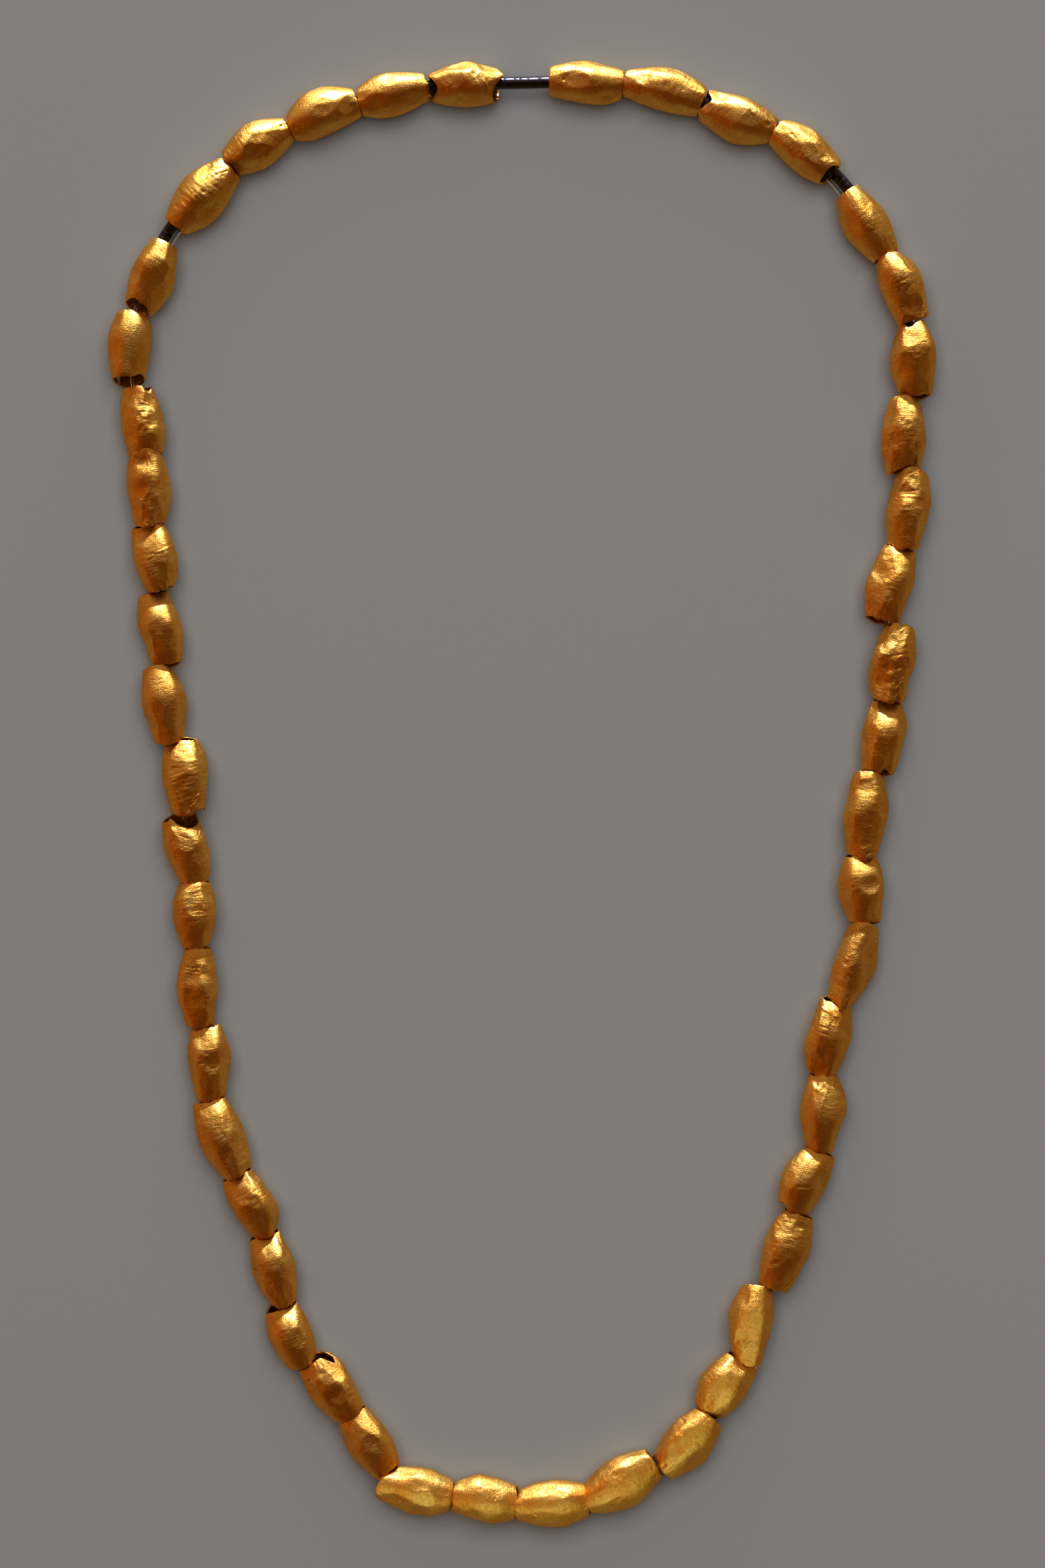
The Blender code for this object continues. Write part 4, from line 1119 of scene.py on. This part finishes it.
def floor_material(stage):
    """Plain pale board, matt, with a faint fine tooth."""
    material, tree, shader = new_material("pale_board")
    cloud = noise(tree, object_place(tree), scale=400.0, detail=3.0)
    add_bump(tree, shader, cloud, strength=0.05, distance=0.0002)
    shader.inputs["Base Color"].default_value = (*stage.floor_colour, 1)
    shader.inputs["Roughness"].default_value = 0.85
    shader.inputs["Specular IOR Level"].default_value = 0.2
    return material


def make_floor(stage):
    """Make the plain square floor, just under the beads."""
    floor = bpy.data.meshes.new("pale_floor")
    grid = bmesh.new()
    bmesh.ops.create_grid(grid, x_segments=FLOOR_SQUARES, y_segments=FLOOR_SQUARES,
                          size=stage.floor_size / 2)
    grid.to_mesh(floor)
    grid.free()
    floor.materials.append(floor_material(stage))
    board = bpy.data.objects.new("pale_floor", floor)
    bpy.context.scene.collection.objects.link(board)
    board.location.z = -FLOOR_GAP
    return board


def add_square_light(name, place, size, power, colour, target=(0, 0, 0)):
    """Add a square area light that shines on a place of the necklace."""
    data = bpy.data.lights.new(name, "AREA")
    data.size = size
    data.energy = power
    data.color = colour
    light = bpy.data.objects.new(name, data)
    bpy.context.scene.collection.objects.link(light)
    light.location = place
    light.rotation_euler = (Vector(target) - light.location).to_track_quat("-Z", "Y").to_euler()
    return light


def light_only(light, things):
    """Let a light shine on these things alone."""
    group = bpy.data.collections.new(f"lit_by_{light.name}")
    for thing in things:
        group.objects.link(thing)
    light.light_linking.receiver_collection = group


def add_lights(stage, board):
    """Light the pieces and the floor, each with lights of their own."""
    pieces = [thing for thing in bpy.context.scene.objects if thing.type == "MESH" and thing != board]
    key = add_square_light("key_light", KEY_PLACE, KEY_SIZE, stage.key_power, KEY_COLOUR)
    light_only(key, pieces)
    near = add_square_light("near_fill", FILL_PLACE, FILL_SIZE, stage.fill_power, FILL_COLOUR,
                            FILL_TARGET)
    light_only(near, [thing for thing in pieces if thing.name in FILLED_BEADS])
    wide = add_square_light("floor_light", FLOOR_LIGHT_PLACE, FLOOR_LIGHT_SIZE,
                            stage.floor_power, FLOOR_LIGHT_COLOUR)
    light_only(wide, [board])


def add_camera(stage):
    """Set the camera straight over the loop, looking down."""
    data = bpy.data.cameras.new("camera")
    data.lens = stage.lens
    data.sensor_width = SENSOR_WIDTH
    camera = bpy.data.objects.new("camera", data)
    bpy.context.scene.collection.objects.link(camera)
    camera.location = (0, CAMERA_ASIDE, BEAD_MIDDLE_HEIGHT + stage.camera_distance)
    bpy.context.scene.camera = camera


def make_room_light():
    """Give the scene a dim room, darkest straight above, with soft glows from its sides."""
    world = bpy.data.worlds.new("dim_room")
    bpy.context.scene.world = world
    world.use_nodes = True
    tree = world.node_tree
    direction = add_node(tree, "ShaderNodeTexCoord", {}).outputs["Generated"]
    total = ROOM_COLOUR
    for side, sharpness, colour in ROOM_GLOWS:
        facing = add_node(tree, "ShaderNodeVectorMath",
                          {0: direction, 1: Vector(side).normalized()}, operation="DOT_PRODUCT")
        above = math_of(tree, "MAXIMUM", facing.outputs["Value"], 0.0)
        power = math_of(tree, "POWER", above, sharpness)
        glow = add_node(tree, "ShaderNodeVectorMath", {0: colour, "Scale": power}, operation="SCALE")
        total = add_node(tree, "ShaderNodeVectorMath", {0: total, 1: glow.outputs["Vector"]},
                         operation="ADD").outputs["Vector"]
    tree.links.new(total, tree.nodes["Background"].inputs["Color"])


class GoldFinish(PropertyGroup):
    """Colours of the gold, of the shade painted into it, of the rod and of the thread."""

    gold_colour: FloatVectorProperty(
        name="Gold", description="Colour of the sheet gold", subtype="COLOR",
        default=(0.95, 0.46, 0.05), min=0, max=1)
    pale_gold_colour: FloatVectorProperty(
        name="Pale gold", description="Colour of the paler clouds in the gold", subtype="COLOR",
        default=(1.0, 0.60, 0.10), min=0, max=1)
    deep_gold_colour: FloatVectorProperty(
        name="Deep gold", description="Colour of the small redder spots in the gold",
        subtype="COLOR", default=(0.68, 0.25, 0.02), min=0, max=1)
    edge_gold_colour: FloatVectorProperty(
        name="Gold seen aslant", description="Tint of the gold where it is seen from low along it",
        subtype="COLOR", default=(0.95, 0.50, 0.06), min=0, max=1)
    # Colour of the shade painted into pits, hollows, lips and the beads' insides
    painted_shade_colour: FloatVectorProperty(
        name="Dirt", description="Colour of the dirt in pits and mouths", subtype="COLOR",
        default=(0.10, 0.042, 0.014), min=0, max=1)
    rod_colour: FloatVectorProperty(
        name="Rod", description="Colour of the rod's coat", subtype="COLOR",
        default=(0.016, 0.006, 0.010), min=0, max=1)
    rod_sheen_colour: FloatVectorProperty(
        name="Rod clouds", description="Colour of the lighter clouds in the rod's coat",
        subtype="COLOR", default=(0.045, 0.016, 0.034), min=0, max=1)
    thread_colour: FloatVectorProperty(
        name="Thread", description="Tint of the clear thread", subtype="COLOR",
        default=(0.92, 0.92, 0.88), min=0, max=1)


class RodRings(PropertyGroup):
    """Sizes of the fine rings round the rod."""

    depth: FloatProperty(
        name="Depth", description="How deep each ring is cut", unit="LENGTH",
        default=0.00004, min=0, max=0.0004)
    width: FloatProperty(
        name="Width", description="How wide each ring is", unit="LENGTH",
        default=0.00012, min=0.00005, max=0.001)
    spacing: FloatProperty(
        name="Spacing", description="Usual distance from one ring to the next", unit="LENGTH",
        default=0.0013, min=0.0004, max=0.01)


class NecklaceStage(PropertyGroup):
    """Floor, lights and camera."""

    floor_size: FloatProperty(
        name="Floor", description="Side of the square floor", unit="LENGTH", default=6.0, min=1)
    floor_colour: FloatVectorProperty(
        name="Floor colour", description="Colour of the plain floor", subtype="COLOR",
        default=(0.31, 0.325, 0.335), min=0, max=1)
    key_power: FloatProperty(
        name="Key light", description="Power of the strong low light on the beads, in watts",
        default=12.0, min=0)
    fill_power: FloatProperty(
        name="Fill light", description="Power of the soft light over the lowest beads, in watts",
        default=1.0, min=0)
    floor_power: FloatProperty(
        name="Floor light", description="Power of the wide light on the floor, in watts",
        default=13.0, min=0)
    camera_distance: FloatProperty(
        name="Camera distance", description="From the camera to the middle of the beads",
        unit="LENGTH", default=0.6533, min=0.2)
    lens: FloatProperty(
        name="Lens", description="The camera's focal length", unit="CAMERA", default=100.0, min=10)


class NECKLACE_OT_gold_beads(Operator):
    """Make the hammered gold beads over the plain solids"""

    bl_idname = "necklace.gold_beads"
    bl_label = "Gold beads"

    def execute(self, context):
        beads, joints = string_of_beads()
        gold = gold_material(context.scene.gold_finish)
        for place, bead in enumerate(beads):
            piece = make_bead(bead, joints[place - 1], joints[place])
            piece.data.materials.append(gold)
            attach(piece, "root")
            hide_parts(f"bead_{bead.number:02d}")
        return {"FINISHED"}


class NECKLACE_OT_support_rod(Operator):
    """Make the bent rod, with fine rings round it"""

    bl_idname = "necklace.support_rod"
    bl_label = "Bent rod"

    def execute(self, context):
        _, joints = string_of_beads()
        rod, _ = cord_routes(joints)
        rings = context.scene.rod_rings
        points, radii = ringed_rod(rod, rings.depth / MM, rings.width / MM, rings.spacing / MM)
        piece = make_tube("ringed_rod", points, radii, ROD_SIDES, False)
        piece.data.materials.append(rod_material(context.scene.gold_finish))
        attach(piece, "root")
        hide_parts("support_rod")
        return {"FINISHED"}


class NECKLACE_OT_stringing_thread(Operator):
    """Make the clear thread, one closed ring through all the beads"""

    bl_idname = "necklace.stringing_thread"
    bl_label = "Clear thread"

    def execute(self, context):
        _, joints = string_of_beads()
        _, thread = cord_routes(joints)
        points = curve_points(thread, THREAD_STEP, True)
        radii = np.full(len(points), THREAD_DIAMETER / 2)
        piece = make_tube("clear_thread_ring", points, radii, THREAD_SIDES, True)
        piece.data.materials.append(thread_material(context.scene.gold_finish))
        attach(piece, "root")
        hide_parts("stringing_thread")
        return {"FINISHED"}


class NECKLACE_OT_stage(Operator):
    """Lay the floor and set the lights and the camera"""

    bl_idname = "necklace.stage"
    bl_label = "Floor, lights and camera"

    def execute(self, context):
        stage = context.scene.necklace_stage
        board = make_floor(stage)
        add_lights(stage, board)
        make_room_light()
        add_camera(stage)
        context.scene.view_settings.view_transform = "Standard"
        context.scene.view_settings.gamma = VIEW_GAMMA
        return {"FINISHED"}


class NECKLACE_PT_parts(Panel):
    """Lists what makes the necklace, and its colours and sizes"""

    bl_label = "Gold necklace"
    bl_idname = "NECKLACE_PT_parts"
    bl_space_type = "VIEW_3D"
    bl_region_type = "UI"
    bl_category = "Necklace"

    def draw(self, context):
        layout = self.layout
        for name in GROUPS:
            group = getattr(context.scene, name)
            for value in group.__annotations__:
                layout.prop(group, value)
        for operator in OPERATORS:
            layout.operator(operator.bl_idname)


GROUPS = {"gold_finish": GoldFinish, "rod_rings": RodRings, "necklace_stage": NecklaceStage}
OPERATORS = (NECKLACE_OT_gold_beads, NECKLACE_OT_support_rod, NECKLACE_OT_stringing_thread,
             NECKLACE_OT_stage)


def register():
    """Register the groups, the operators and the panel."""
    for name, group in GROUPS.items():
        bpy.utils.register_class(group)
        setattr(bpy.types.Scene, name, PointerProperty(type=group))
    for part in (*OPERATORS, NECKLACE_PT_parts):
        bpy.utils.register_class(part)


def unregister():
    """Remove what register added."""
    for part in (NECKLACE_PT_parts, *reversed(OPERATORS)):
        bpy.utils.unregister_class(part)
    for name, group in GROUPS.items():
        delattr(bpy.types.Scene, name)
        bpy.utils.unregister_class(group)


def main():
    """Make every piece and the stage."""
    register()
    bpy.ops.necklace.gold_beads()
    bpy.ops.necklace.support_rod()
    bpy.ops.necklace.stringing_thread()
    bpy.ops.necklace.stage()


if __name__ == "__main__":
    main()
